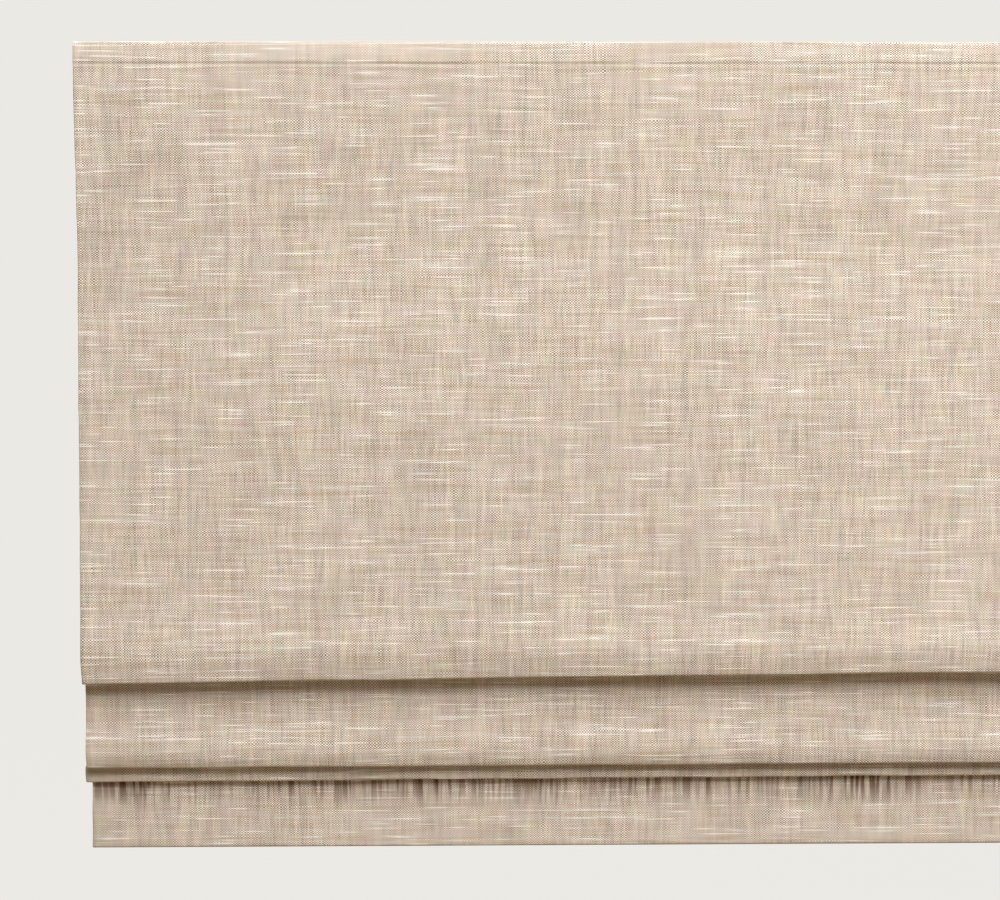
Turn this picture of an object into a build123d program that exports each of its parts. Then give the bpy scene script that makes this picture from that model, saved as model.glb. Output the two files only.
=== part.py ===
from build123d import *
import math
import os

# Flat-fold roman blind for fitting inside a window recess, partly raised.
# X runs across the window, Y is depth with the room at -Y, and Z is up.
# The origin is the middle of the bracket screw pattern, on the underside of the window head.

# Overall
shade_width = 914.0            # finished width of the cloth
cloth_thickness = 0.8
lining_thickness = 0.45
ply_gap = 0.2                  # between the face cloth and what lies behind it
sheet_thickness = 2 * cloth_thickness + ply_gap   # at the side hems, where the cloth is double
side_hem = 38.0                # turned back over the lining at each side
edge_round = 0.15              # the side fold is this much thinner than two plies
soft_clearance = 0.3           # between cloth and the hard pieces near it

# Headrail
rail_depth = 44.0
rail_height = 32.0
rail_wall = 1.0
rail_lip = 5.0                 # inward lips along the open top
rail_bend = 1.5                # outer radius of the bends
rail_top = -1.8                # top of the lips below the window head
cover_thickness = 0.6          # cloth glued round the rail
glue_gap = 0.05
cover_under = 9.0              # how far the cloth is glued under the rail
cap_flange = 2.0
cap_clearance = 0.15           # between the rail's inside and the cap's plug
cap_plug = 14.0
cap_wall = 1.5
cap_edge = 0.6                 # chamfer round the flange
tape_height = 19.0
tape_thickness = 1.0
tape_drop = 2.5                # from the cloth's top edge down to the tape
tape_gap = 0.1                 # between the tape and the turned top sewn to it

# Brackets
bracket_thickness = 1.2
bracket_width = 28.0
bracket_inset = 167.0          # from the cloth's edge to a bracket's middle
bracket_hole_radius = 2.25
bracket_hole_spacing = 20.0
hook_reach = 3.4               # how far each hook goes under a lip
hook_gap = 0.2                 # between hook and lip
bracket_bend = 0.4             # inner radius of its bends

# Cloth levels, measured down from the window head
cloth_top = -4.0
rib_0_level = -347.0           # the rib that still hangs behind the flat front panel
rib_1_drop = 193.0             # from there to the highest gathered rib
rib_pitch = 12.5               # between gathered ribs
fold_1_drop = 50.0             # from the lowest gathered rib to the first fold's bottom
fold_2_drop = 89.0             # from that to the second fold's
fold_3_drop = 15.0
skirt_drop = 68.5              # from the third fold's bottom to the hem
hem_height = 60.0
band_below = 6.0               # the band at the rail ends this far below it
panel_start = -195.0           # the panel hangs plumb from here
panel_stop = 20.0              # to this far above the highest gathered rib
mid_drop = 5.0                 # the hindmost ply leans between this far below the first fold
low_rise = 4.0                 # and this far above the second
tuck_start, tuck_end = 1.5, 7.5    # the third fold's front steps forward this far below the second
skirt_start = 6.0              # the skirt hangs plumb from this far below the third fold

# Cloth depths, measured back from the front of the panel
fold_1_front, fold_1_back = 2.0, 12.6
fold_2_front, fold_2_back = 17.0, 25.3
fold_3_front = 20.5
rib_set_back = 16.0
mid_set_back = 25.0            # the hindmost ply, where its lean starts
low_set_back = 31.0            # and where it ends
skirt_set_back = 32.0
face_gap = 0.6                 # between two plies lying face to face
lining_gap = 0.8               # between two plies lying lining to lining
step_start, step_end = 1.2, 10.2   # a ply steps forward between these depths below a rib

# Ribs, cord guides and lift cords
rod_radius = 2.0
rod_sleeve_clearance = 0.4
sleeve_wall = 0.5
sleeve_tab = 7.0
rod_cap_wall = 0.8
rod_cap_length = 8.0
rod_inset = 3.0                # from the cloth's edge to the rod's cap
rod_drop = 1.5                 # a gathered rod's axis below the top of its fold
cap_fit = 0.05                 # between a rod or the bar and its caps
sleeve_end_gap = 0.5           # between a sleeve's end and the rod's cap
cord_radius = 0.7
eye_radius = 2.0
eye_wall = 1.3
eye_height = 3.0
guide_width = 9.0
guide_wall = 1.3
guide_gap = 0.1
guide_arc = (-75.0, 125.0)     # how far the clip reaches round the sleeve, in degrees
cord_inset = 92.0              # from the cloth's edge to an outer cord
stop_radius = 3.6
stop_length = 13.0
stop_bore_clearance = 0.1
stop_gap = 0.3                 # between a stop and the eye that rests on it
stop_chamfer = 1.0
stop_neck = 1.8                # radius at its top, where it meets the eye
stop_cone = 3.0                # height of the cone below the neck
cord_bend = 30.0               # where a cord turns in a guide's eye
cord_wrap = 200.0              # degrees of the cord's last turn on the drum

# Weight bar in the bottom hem
bar_thickness = 3.0
bar_height = 22.0
bar_round = 1.2
bar_inset = 8.0
bar_cap_wall = 0.6
bar_cap_length = 12.0
bar_lift = 1.2                 # above the inside of the hem's turn
lining_tuck = 8.0              # lining that reaches into the bottom hem

# Lift shaft, spools and cradles
shaft_radius = 3.2
shaft_flat = 2.4               # from the axis to the flat
shaft_fit = 0.06
shaft_chamfer = 0.3
shaft_height = 15.3            # of its axis above the rail's floor
shaft_end_gap = 18.0           # from the rail's end to the shaft's end
drum_radius = 9.3
cord_fit = 0.15                # between the drum and the cord on it
drum_length = 33.0
drum_lead = 21.0               # wound side of the drum, from the cord's drop
flange_rise = 2.3              # of a spool's flanges above its drum
flange_thickness = 1.5
journal_radius = 4.6
journal_length = 5.5
journal_fit = 0.08
feed_cone = 2.5                # the cone beside the wound flange, which moves the turns along
winding_length = 18.2          # thirteen turns of cord
cradle_wall = 3.2
cradle_base = 2.4
cradle_gap = 3.0               # between a cradle and the rail's walls
cradle_side_gap = 0.5          # between a cradle's upright and the spool's flange
cradle_head = 9.0              # half the width of an upright at the journal
cradle_snap = 0.9              # the slot's mouth, as a share of its width at the journal
cradle_top = 6.0               # above the shaft's axis
nozzle_radius = 3.4
nozzle_bore = 2.2
nozzle_lip = 1.0
floor_hole_gap = 0.1

# Spring motor
motor_inset = 277.0            # from the cloth's edge to the motor's inner wall
gear_module = 0.6875
gear_teeth = 16
gear_width = 4.0
gear_backlash = 0.08
gear_pressure = math.radians(20)
gear_clearance = 0.25          # below the mating tips, in modules
gear_side_gap = 0.5
band_width = 16.0
band_thickness = 0.3
drum_core_radius = 3.6
core_gap = 0.2
output_turns = 1.5             # thickness of the spring wound on the output drum
coil_gap = 0.7                 # between the storage drum's coil and the rims of its flanges
drum_flange = 1.0
drum_shaft_gap = 0.4           # between those flanges and the shaft
drum_rail_gap = 0.55           # and between them and the rail's back wall
axle_radius = 1.5
axle_fit = 0.06
axle_head_radius = 2.4
axle_head = 0.8
hub_radius = 3.0               # spacer on the storage drum, beside the gears
band_side_gap = 0.3            # between the spring and the drums' flanges
shaft_slot_gap = 0.8           # round the shaft in the motor's walls
motor_wall = 2.4
motor_head_gap = 3.0           # between the motor's walls and the rail's lips
motor_side_gap = 1.0           # between its frame and the rail's walls
motor_base = 1.6

os.makedirs("parts", exist_ok=True)

# Places worked out from the sizes above
rail_front = -rail_depth / 2
cover_front = rail_front - glue_gap - cover_thickness
hook_front = cover_front - tape_thickness
loop_front = hook_front - tape_thickness
turned_hem_back = loop_front - tape_gap
band_front = turned_hem_back - sheet_thickness - lining_thickness - 2 * ply_gap
cloth_edge = shade_width / 2
rail_floor = rail_top - rail_height + rail_wall
rail_end = cloth_edge - cap_flange
bracket_x = cloth_edge - bracket_inset
motor_x = cloth_edge - motor_inset
cord_x = (cord_inset - cloth_edge, 0.0, cloth_edge - cord_inset)
rib_1_level = rib_0_level - rib_1_drop
rib_2_level = rib_1_level - rib_pitch
rib_3_level = rib_2_level - rib_pitch
fold_1_bottom = rib_3_level - fold_1_drop
fold_2_bottom = fold_1_bottom - fold_2_drop
fold_3_bottom = fold_2_bottom - fold_3_drop
hem_bottom = fold_3_bottom - skirt_drop
step_back = 2 * sheet_thickness + lining_gap + face_gap
sleeve_bore = rod_radius + rod_sleeve_clearance
sleeve_radius = sleeve_bore + sleeve_wall
eye_offset = sleeve_radius + guide_gap + guide_wall + eye_radius

# The motor's drums lie before and behind the shaft, and the cords drop plumb from the spools
# to the top rib's eyes, so the rail's depth sets how far back the panel hangs.
flange_radius = drum_radius + flange_rise
wrap_radius = drum_radius + cord_fit + cord_radius
gear_radius = gear_module * gear_teeth / 2
drum_flange_radius = 2 * gear_radius - shaft_radius - drum_shaft_gap
output_y = rail_depth / 2 - rail_wall - drum_rail_gap - drum_flange_radius
shaft_y = output_y - 2 * gear_radius
storage_y = shaft_y - 2 * gear_radius
shaft_level = rail_floor + shaft_height
cord_top_y = shaft_y - wrap_radius
rod_0_y = cord_top_y - eye_offset
panel_y = rod_0_y - sleeve_radius - soft_clearance - sheet_thickness
gathered_rod_y = panel_y + rib_set_back + face_gap + sheet_thickness + soft_clearance + sleeve_radius
cord_low_y = gathered_rod_y + eye_offset


def write(piece, name):
    piece.part.label = name
    export_step(piece.part, f"parts/{name}.step")


def offset_route(points, radii, distance):
    """Corners and radii of the line that runs a distance to the left of a filleted route."""
    moved, new_radii = [], []
    last = len(points) - 1
    for i, (y, z) in enumerate(points):
        before = points[max(i - 1, 0)]
        after = points[min(i + 1, last)]
        way_in = math.atan2(z - before[1], y - before[0]) if i else None
        way_out = math.atan2(after[1] - z, after[0] - y) if i < last else None
        if way_in is None or way_out is None:
            way = way_out if way_in is None else way_in
            moved.append((y - distance * math.sin(way), z + distance * math.cos(way)))
            continue
        turn = math.remainder(way_out - way_in, 2 * math.pi)
        way = way_in + turn / 2
        reach = distance / math.cos(turn / 2)
        moved.append((y - reach * math.sin(way), z + reach * math.cos(way)))
        new_radii.append(radii[i - 1] - distance * math.copysign(1.0, turn))
    return moved, new_radii


def strip_face(points, radii, near, far):
    """A bent strip's section between two distances to the left of a route."""
    near_points, near_radii = offset_route(points, radii, near)
    far_points, far_radii = offset_route(points, radii, far)
    with BuildLine() as outline:
        near_line = FilletPolyline(*near_points, radius=near_radii)
        far_line = FilletPolyline(*far_points, radius=far_radii)
        Line(near_line @ 0, far_line @ 0)
        Line(near_line @ 1, far_line @ 1)
    make_face(outline.edges())


# Route of the cloth's face in the Y-Z plane, from the headrail to the hem.
# The lining side lies to the left of the way it runs.
def column(count, side):
    """Depth of a ply that has stepped forward past a number of ribs."""
    return panel_y + rib_set_back - count * step_back + (face_gap if side == "front" else 0.0)


stack_levels = [rib_3_level - step_end, fold_1_bottom - mid_drop, fold_2_bottom + low_rise]
stack_back = [panel_y + rib_set_back + face_gap, panel_y + mid_set_back, panel_y + low_set_back]
layer_front = {
    "3b": face_gap,
    "3f": step_back,
    "2b": step_back + face_gap,
    "2f": 2 * step_back,
    "1b": 2 * step_back + face_gap,
}


def ply(layer, level):
    """A point on one gathered ply, which keeps its distance in front of the skirt."""
    return (stack_back[level] - layer_front[layer], stack_levels[level])


def climb(first, ribs, top):
    """A back ply going up to its rib, past the ribs gathered below it."""
    corners = []
    for count in range(ribs, 0, -1):
        level = top - count * rib_pitch + rib_pitch
        corners.append((column(count, "back"), level - step_end))
        corners.append((column(count - 1, "back"), level - step_start))
    return [first] + corners


def descend(ribs, top):
    """A front ply going down from its rib, past the ribs gathered below it."""
    corners = []
    for count in range(ribs):
        level = top - count * rib_pitch
        corners.append((column(count, "front"), level - step_start))
        corners.append((column(count + 1, "front"), level - step_end))
    return corners


def rib_turn(top):
    return [(column(0, "back"), top), (column(0, "front"), top)]


y_fold_1 = (panel_y + fold_1_front, panel_y + fold_1_back)
y_fold_2 = (panel_y + fold_2_front, panel_y + fold_2_back)
y_fold_3 = (panel_y + fold_3_front, stack_back[2] - layer_front["3b"])
skirt_y = panel_y + skirt_set_back
hem_pocket = sheet_thickness + cloth_thickness + bar_thickness + 2 * (bar_cap_wall + soft_clearance)
fold_radius = 0.46             # share of a fold's width
fold_3_radius = 0.42
turn_share = 0.48              # the same where the cloth turns over a rib and at the top
hem_turn = 2.4
bend = 2.2                     # where a ply steps forward
tuck_bend = 2.5
ease = 60.0                    # where the cloth only leans

panel_route = [
    (band_front, rail_top - rail_height - band_below, ease),
    (panel_y, panel_start, ease),
    (panel_y, rib_1_level + panel_stop, ease),
]
fold_1 = [(y, fold_1_bottom, fold_radius * (y_fold_1[1] - y_fold_1[0])) for y in y_fold_1]
fold_2 = [(y, fold_2_bottom, fold_radius * (y_fold_2[1] - y_fold_2[0])) for y in y_fold_2]
fold_3 = [(y, fold_3_bottom, fold_3_radius * (y_fold_3[1] - y_fold_3[0])) for y in y_fold_3]
turn_radius = turn_share * face_gap


def with_radius(points, radius):
    return [(y, z, radius) for y, z in points]


body_route = (
    panel_route
    + fold_1
    + with_radius(climb(ply("1b", 0), 2, rib_1_level), bend)
    + with_radius(rib_turn(rib_1_level), turn_radius)
    + with_radius(descend(2, rib_1_level), bend)
    + with_radius([ply("2f", 0)], bend)
    + with_radius([ply("2f", 1)], ease)
    + fold_2
    + with_radius([ply("2b", 1)], ease)
    + with_radius(climb(ply("2b", 0), 1, rib_2_level), bend)
    + with_radius(rib_turn(rib_2_level), turn_radius)
    + with_radius(descend(1, rib_2_level), bend)
    + with_radius([ply("3f", 0)], bend)
    + with_radius([ply("3f", 1)], ease)
    + with_radius([(ply("3f", 2)[0], fold_2_bottom - tuck_start)], bend)
    + with_radius([(y_fold_3[0], fold_2_bottom - tuck_end)], tuck_bend)
    + fold_3
    + with_radius([ply("3b", 2), ply("3b", 1)], ease)
    + with_radius([ply("3b", 0)], bend)
    + with_radius(rib_turn(rib_3_level), turn_radius)
    + with_radius([(stack_back[0], stack_levels[0])], bend)
    + with_radius([(stack_back[1], stack_levels[1]), (stack_back[2], stack_levels[2])], ease)
    + with_radius([(skirt_y, fold_3_bottom - skirt_start)], ease)
)
top_turn = [(turned_hem_back, cloth_top), (band_front, cloth_top)]
top_radius = turn_share * (turned_hem_back - band_front)
hem_corners = [(skirt_y, hem_bottom), (skirt_y + hem_pocket, hem_bottom)]
hem_end = (skirt_y + hem_pocket, hem_bottom + hem_height)
lining_start = (band_front, cloth_top - top_radius)
lining_end = (skirt_y, hem_bottom + hem_height - lining_tuck)
return_start = (band_front, cloth_top - tape_drop - tape_height)
return_end = (skirt_y, hem_bottom + hem_turn + cloth_thickness)


def route(start, corners, end):
    """Corner points from start to end, and the radius at each corner between them."""
    return [start] + [(y, z) for y, z, _ in corners] + [end], [r for _, _, r in corners]


face_route = route(
    (turned_hem_back, cloth_top - tape_drop - tape_height),
    with_radius(top_turn, top_radius) + body_route + with_radius(hem_corners, hem_turn),
    hem_end,
)
lining_route = route(lining_start, body_route, lining_end)
return_route = route(return_start, body_route, return_end)

# Face cloth, with its turned top, side hems and bottom hem
with BuildPart() as face_fabric:
    with BuildSketch(Plane.YZ):
        strip_face(*face_route, 0, cloth_thickness)
    extrude(amount=cloth_edge - cloth_thickness / 2, both=True)
    for side in (-1, 1):
        with BuildSketch(Plane.YZ.offset(side * (cloth_edge - side_hem))):
            strip_face(*return_route, cloth_thickness + ply_gap, sheet_thickness)
        extrude(amount=side * (side_hem - cloth_thickness / 2))
        with BuildSketch(Plane.YZ.offset(side * (cloth_edge - cloth_thickness))):
            strip_face(*return_route, edge_round, sheet_thickness - edge_round)
        extrude(amount=side * cloth_thickness)
write(face_fabric, "face_fabric")

# Lining behind the face cloth, between the side hems
lining_edge = cloth_edge - side_hem - soft_clearance
with BuildPart() as lining:
    with BuildSketch(Plane.YZ):
        strip_face(*lining_route, cloth_thickness + ply_gap,
                   cloth_thickness + ply_gap + lining_thickness)
    extrude(amount=lining_edge, both=True)
write(lining, "lining")

with BuildLine() as face_line:
    FilletPolyline(*face_route[0], radius=face_route[1])
print(f"face cloth is {face_line.wires()[0].length:.0f} mm long with its hems")


def strip(points, radii, thickness, left, right):
    """A bent strip of sheet, extruded along the blind between two places."""
    with BuildPart() as piece:
        with BuildSketch(Plane.YZ.offset(left)):
            strip_face(points, radii, 0, thickness)
        extrude(amount=right - left)
    return piece


# Headrail: a roll-formed channel, open along the top between two lips
rail_half = rail_depth / 2
rail_bottom = rail_top - rail_height
rail_corners = [
    (-rail_half + rail_lip, rail_top), (-rail_half, rail_top), (-rail_half, rail_bottom),
    (rail_half, rail_bottom), (rail_half, rail_top), (rail_half - rail_lip, rail_top),
]
with BuildPart() as headrail:
    with BuildSketch(Plane.YZ.offset(-rail_end)):
        strip_face(rail_corners, [rail_bend] * 4, 0, rail_wall)
    extrude(amount=2 * rail_end)
    with Locations([(x, cord_top_y, rail_floor) for x in cord_x]):
        Cylinder(nozzle_radius + floor_hole_gap, 3 * rail_wall, mode=Mode.SUBTRACT)
write(headrail, "headrail_channel")

# Cloth glued round the front of the rail
cover_gap = glue_gap + cover_thickness
cover_corners = [
    (-rail_half + rail_lip - hook_gap, rail_top + cover_gap),
    (-rail_half - cover_gap, rail_top + cover_gap),
    (-rail_half - cover_gap, rail_bottom - cover_gap),
    (-rail_half + cover_under, rail_bottom - cover_gap),
]
headrail_cover = strip(cover_corners, [rail_bend + cover_gap] * 2, cover_thickness, -rail_end, rail_end)
write(headrail_cover, "headrail_cover")

# Hook-and-loop tape: hooks on the rail, loops sewn to the cloth's turned top
tape_end = rail_end - cap_flange
tape_level = cloth_top - tape_drop - tape_height / 2
for name, front in (("hook_tape", hook_front), ("loop_tape", loop_front)):
    with BuildPart() as tape:
        with BuildSketch(Plane.YZ):
            with Locations((front + tape_thickness / 2, tape_level)):
                Rectangle(tape_thickness, tape_height)
        extrude(amount=tape_end, both=True)
    write(tape, name)

# Moulded end caps: a flange over the rail's end and a trough-shaped plug inside it
plug_half = rail_half - rail_wall - cap_clearance
plug_low = rail_floor + cap_clearance
plug_high = rail_top - rail_wall - cap_clearance
plug_height = plug_high - plug_low
for side, name in ((-1, "end_cap_left"), (1, "end_cap_right")):
    with BuildPart() as end_cap:
        with BuildSketch(Plane.YZ.offset(side * rail_end)):
            with Locations((-cover_gap / 2, (rail_top + rail_bottom) / 2)):
                RectangleRounded(rail_depth + cover_gap, rail_height + 2 * cover_gap, rail_bend + cover_gap)
        extrude(amount=side * cap_flange)
        chamfer(end_cap.faces().sort_by(Axis.X)[-1 if side > 0 else 0].edges(), cap_edge)
        with BuildSketch(Plane.YZ.offset(side * rail_end)):
            with Locations((0, plug_low + plug_height / 2)):
                RectangleRounded(2 * plug_half, plug_height, rail_bend)
            with Locations((0, plug_low + plug_height / 2 + cap_wall)):
                Rectangle(2 * (plug_half - cap_wall), plug_height, mode=Mode.SUBTRACT)
        extrude(amount=-side * cap_plug)
    write(end_cap, name)

# Spring-steel brackets: screwed up under the window head, hooked under both lips
hook_top = rail_top - rail_wall - hook_gap
leg_y = rail_half - rail_lip - hook_gap
bracket_corners = [
    (-leg_y - hook_reach, hook_top), (-leg_y, hook_top), (-leg_y, 0.0),
    (leg_y, 0.0), (leg_y, hook_top), (leg_y + hook_reach, hook_top),
]
outer_bend = bracket_bend + bracket_thickness
for side, name in ((-1, "bracket_left"), (1, "bracket_right")):
    with BuildPart() as bracket:
        with BuildSketch(Plane.YZ.offset(side * bracket_x - bracket_width / 2)):
            strip_face(bracket_corners, [bracket_bend, outer_bend, outer_bend, bracket_bend],
                       -bracket_thickness, 0)
        extrude(amount=bracket_width)
        with Locations([(side * bracket_x, sign * bracket_hole_spacing / 2, 0) for sign in (-1, 1)]):
            Cylinder(bracket_hole_radius, 3 * bracket_thickness, mode=Mode.SUBTRACT)
    write(bracket, name)


# Lift shaft: a round rod with one flat, which turns everything fitted on it
def flatted(radius, flat):
    """The shaft's section, or the bore that fits it."""
    with Locations((shaft_y, shaft_level)):
        Circle(radius)
    with Locations((shaft_y, shaft_level + flat + radius)):
        Rectangle(2 * radius, 2 * radius, mode=Mode.SUBTRACT)


shaft_end = rail_end - shaft_end_gap
shaft_axis = Axis((0, shaft_y, shaft_level), (1, 0, 0))
with BuildPart() as lift_shaft:
    with BuildSketch(Plane.YZ):
        flatted(shaft_radius, shaft_flat)
    extrude(amount=shaft_end, both=True)
    chamfer(lift_shaft.faces().filter_by(Axis.X).edges(), shaft_chamfer)
write(lift_shaft, "lift_shaft")


def shaft_bore():
    """Cut the shaft's hole through the piece being made."""
    with BuildSketch(Plane.YZ.offset(-cloth_edge), mode=Mode.PRIVATE) as bore:
        flatted(shaft_radius + shaft_fit, shaft_flat + shaft_fit)
    extrude(bore.sketch, amount=2 * cloth_edge, mode=Mode.SUBTRACT)


# Spools, with a winding of cord on each, in cradles that stand on the rail's floor
def spool_outline(x):
    """Half section of a spool whose cord drops at x."""
    drum_start = x - drum_lead
    drum_stop = drum_start + drum_length
    steps = [
        (drum_start - flange_thickness - journal_length, journal_radius),
        (drum_start - flange_thickness, journal_radius),
        (drum_start - flange_thickness, flange_radius),
        (drum_start, flange_radius),
        (drum_start, drum_radius + cord_radius),
        (drum_start + feed_cone, drum_radius),
        (drum_stop, drum_radius),
        (drum_stop, flange_radius),
        (drum_stop + flange_thickness, flange_radius),
        (drum_stop + flange_thickness, journal_radius),
        (drum_stop + flange_thickness + journal_length, journal_radius),
    ]
    ends = [(steps[-1][0], 0.0), (steps[0][0], 0.0)]
    return [(along, shaft_level + radius) for along, radius in steps + ends]


def upright_outline():
    """A cradle's upright, wide on the floor and narrow at the journal."""
    foot = rail_floor + cradle_base
    shoulder = shaft_level - journal_radius
    top = shaft_level + cradle_top
    return [
        (-cradle_depth / 2, rail_floor), (cradle_depth / 2, rail_floor), (cradle_depth / 2, foot),
        (shaft_y + cradle_head, shoulder), (shaft_y + cradle_head, top),
        (shaft_y - cradle_head, top), (shaft_y - cradle_head, shoulder), (-cradle_depth / 2, foot),
    ]


slot_radius = journal_radius + journal_fit
cradle_depth = rail_depth - 2 * (rail_wall + cradle_gap)
upright_in = drum_lead + flange_thickness + cradle_side_gap
upright_out = drum_length - drum_lead + flange_thickness + cradle_side_gap
for x, side in zip(cord_x, ("left", "middle", "right")):
    with BuildPart() as spool:
        with BuildSketch(Plane.XZ.offset(-shaft_y)):
            with BuildLine():
                Polyline(*spool_outline(x), close=True)
            make_face()
        revolve(axis=shaft_axis)
        shaft_bore()
    write(spool, f"spool_{side}")

    with BuildPart() as cord_winding:
        with BuildSketch(Plane.YZ.offset(x - cord_radius - cord_fit)):
            with Locations((shaft_y, shaft_level)):
                Circle(wrap_radius + cord_radius)
                Circle(wrap_radius - cord_radius, mode=Mode.SUBTRACT)
        extrude(amount=-winding_length)
    write(cord_winding, f"cord_winding_{side}")

    with BuildPart() as cradle:
        with BuildSketch(Plane.YZ.offset(x - upright_in - cradle_wall)):
            with Locations((0, rail_floor + cradle_base / 2)):
                Rectangle(cradle_depth, cradle_base)
        extrude(amount=upright_in + upright_out + 2 * cradle_wall)
        for start in (x - upright_in - cradle_wall, x + upright_out):
            with BuildSketch(Plane.YZ.offset(start)):
                with BuildLine():
                    Polyline(*upright_outline(), close=True)
                make_face()
                with Locations((shaft_y, shaft_level)):
                    Circle(slot_radius, mode=Mode.SUBTRACT)
                with Locations((shaft_y, shaft_level + cradle_top)):
                    Rectangle(2 * cradle_snap * slot_radius, 2 * cradle_top, mode=Mode.SUBTRACT)
            extrude(amount=cradle_wall)
        with BuildSketch(Plane.XY.offset(rail_floor)):
            with Locations((x, cord_top_y)):
                Circle(nozzle_radius)
        extrude(amount=-rail_wall - nozzle_lip)
        with Locations((x, cord_top_y, rail_floor)):
            Cylinder(nozzle_bore, 4 * (cradle_base + nozzle_lip), mode=Mode.SUBTRACT)
    write(cradle, f"cradle_{side}")


# Spring motor: a gear on the shaft, one on the output drum, and a storage drum
tip_radius = gear_radius + gear_module
root_radius = gear_radius - (1 + gear_clearance) * gear_module


def tooth_flank():
    """Points down one side of a tooth that points along X, from its tip to its base circle."""
    base_radius = gear_radius * math.cos(gear_pressure)
    half = math.pi / (2 * gear_teeth) - gear_backlash / (4 * gear_radius)
    points = []
    for share in (1.0, 0.75, 0.5, 0.25, 0.0):
        radius = base_radius + (tip_radius - base_radius) * share
        roll = math.acos(base_radius / radius)
        angle = half + math.tan(gear_pressure) - gear_pressure - math.tan(roll) + roll
        points.append((radius * math.cos(angle), radius * math.sin(angle)))
    return points


tooth_root = root_radius - gear_module / 2
with BuildSketch() as tooth:
    with BuildLine():
        upper = Spline(*tooth_flank())
        lower = Spline(*[(y, -z) for y, z in tooth_flank()])
        ThreePointArc(upper @ 0, (tip_radius, 0), lower @ 0)
        Polyline(upper @ 1, (tooth_root, (upper @ 1).Y), (tooth_root, (lower @ 1).Y), lower @ 1)
    make_face()


def gear_face(y, first_tooth):
    with Locations((y, shaft_level)):
        Circle(root_radius)
        with PolarLocations(0, gear_teeth, start_angle=first_tooth):
            add(tooth.sketch)


gear_start = motor_x + gear_side_gap
flange_start = gear_start + gear_width
band_start = flange_start + drum_flange
far_flange = band_start + band_width + 2 * band_side_gap
drum_end = far_flange + drum_flange
with BuildPart() as drive_gear:
    with BuildSketch(Plane.YZ.offset(gear_start)):
        gear_face(shaft_y, 0)
    extrude(amount=gear_width - gear_side_gap)
    shaft_bore()
write(drive_gear, "drive_gear")


def disc(y, start, length, radius, mode=Mode.ADD):
    """A round length along the blind, on the motor's level."""
    with BuildSketch(Plane.YZ.offset(start), mode=Mode.PRIVATE) as outline:
        with Locations((y, shaft_level)):
            Circle(radius)
    extrude(outline.sketch, amount=length, mode=mode)


for y, name in ((output_y, "output_drum"), (storage_y, "storage_drum")):
    with BuildPart() as drum:
        if name == "output_drum":
            with BuildSketch(Plane.YZ.offset(gear_start)):
                gear_face(y, 180 / gear_teeth)
            extrude(amount=gear_width)
        else:
            disc(y, gear_start, gear_width, hub_radius)
        disc(y, flange_start, drum_flange, drum_flange_radius)
        disc(y, band_start, far_flange - band_start, drum_core_radius)
        disc(y, far_flange, drum_flange, drum_flange_radius)
        disc(y, gear_start, drum_end - gear_start, axle_radius + axle_fit, mode=Mode.SUBTRACT)
    write(drum, name)

# The spring: a coil on each drum and the band that runs between them over the shaft
band_inner = drum_core_radius + core_gap
storage_outer = drum_flange_radius - coil_gap
output_outer = band_inner + output_turns
lean = math.asin((storage_outer - output_outer) / (output_y - storage_y))


def over(y, radius):
    """Where the band leaves a coil of this radius, on top of the drum at y."""
    return (y + radius * math.sin(lean), shaft_level + radius * math.cos(lean))


with BuildPart() as spring_band:
    with BuildSketch(Plane.YZ.offset(band_start + band_side_gap)):
        with Locations((storage_y, shaft_level)):
            Circle(storage_outer)
        with Locations((output_y, shaft_level)):
            Circle(output_outer)
        with BuildLine():
            Polyline(
                over(storage_y, storage_outer), over(output_y, output_outer),
                over(output_y, output_outer - band_thickness),
                over(storage_y, storage_outer - band_thickness),
                close=True,
            )
        make_face()
        with Locations((storage_y, shaft_level), (output_y, shaft_level)):
            Circle(band_inner, mode=Mode.SUBTRACT)
    extrude(amount=band_width)
write(spring_band, "spring_band")

# Motor frame: a base on the rail's floor, with a wall at each end of the drums
frame_start = motor_x - motor_wall
frame_stop = drum_end + gear_side_gap
frame_end = frame_stop + motor_wall
motor_depth = rail_depth - 2 * (rail_wall + motor_side_gap)
motor_wall_height = rail_height - 2 * rail_wall - motor_head_gap
wall_top = rail_floor + motor_wall_height
shaft_slot = shaft_radius + shaft_slot_gap
with BuildPart() as motor_frame:
    with BuildSketch(Plane.YZ.offset(frame_start)):
        with Locations((0, rail_floor + motor_base / 2)):
            Rectangle(motor_depth, motor_base)
    extrude(amount=frame_end - frame_start)
    for start in (frame_start, frame_stop):
        with BuildSketch(Plane.YZ.offset(start)):
            with Locations((0, rail_floor + motor_wall_height / 2)):
                RectangleRounded(motor_depth, motor_wall_height, motor_wall)
            with Locations((0, rail_floor + motor_wall)):
                Rectangle(motor_depth, 2 * motor_wall)
            with Locations((shaft_y, shaft_level)):
                Circle(shaft_slot, mode=Mode.SUBTRACT)
            with Locations((shaft_y, (shaft_level + wall_top) / 2)):
                Rectangle(2 * shaft_slot, wall_top - shaft_level, mode=Mode.SUBTRACT)
            with Locations((output_y, shaft_level), (storage_y, shaft_level)):
                Circle(axle_radius + axle_fit / 2, mode=Mode.SUBTRACT)
        extrude(amount=motor_wall)
write(motor_frame, "motor_frame")

with BuildPart() as motor_axles:
    for y in (storage_y, output_y):
        disc(y, frame_start - axle_head, axle_head, axle_head_radius)
        disc(y, frame_start, frame_end - frame_start + axle_head, axle_radius)
write(motor_axles, "motor_axles")

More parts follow.
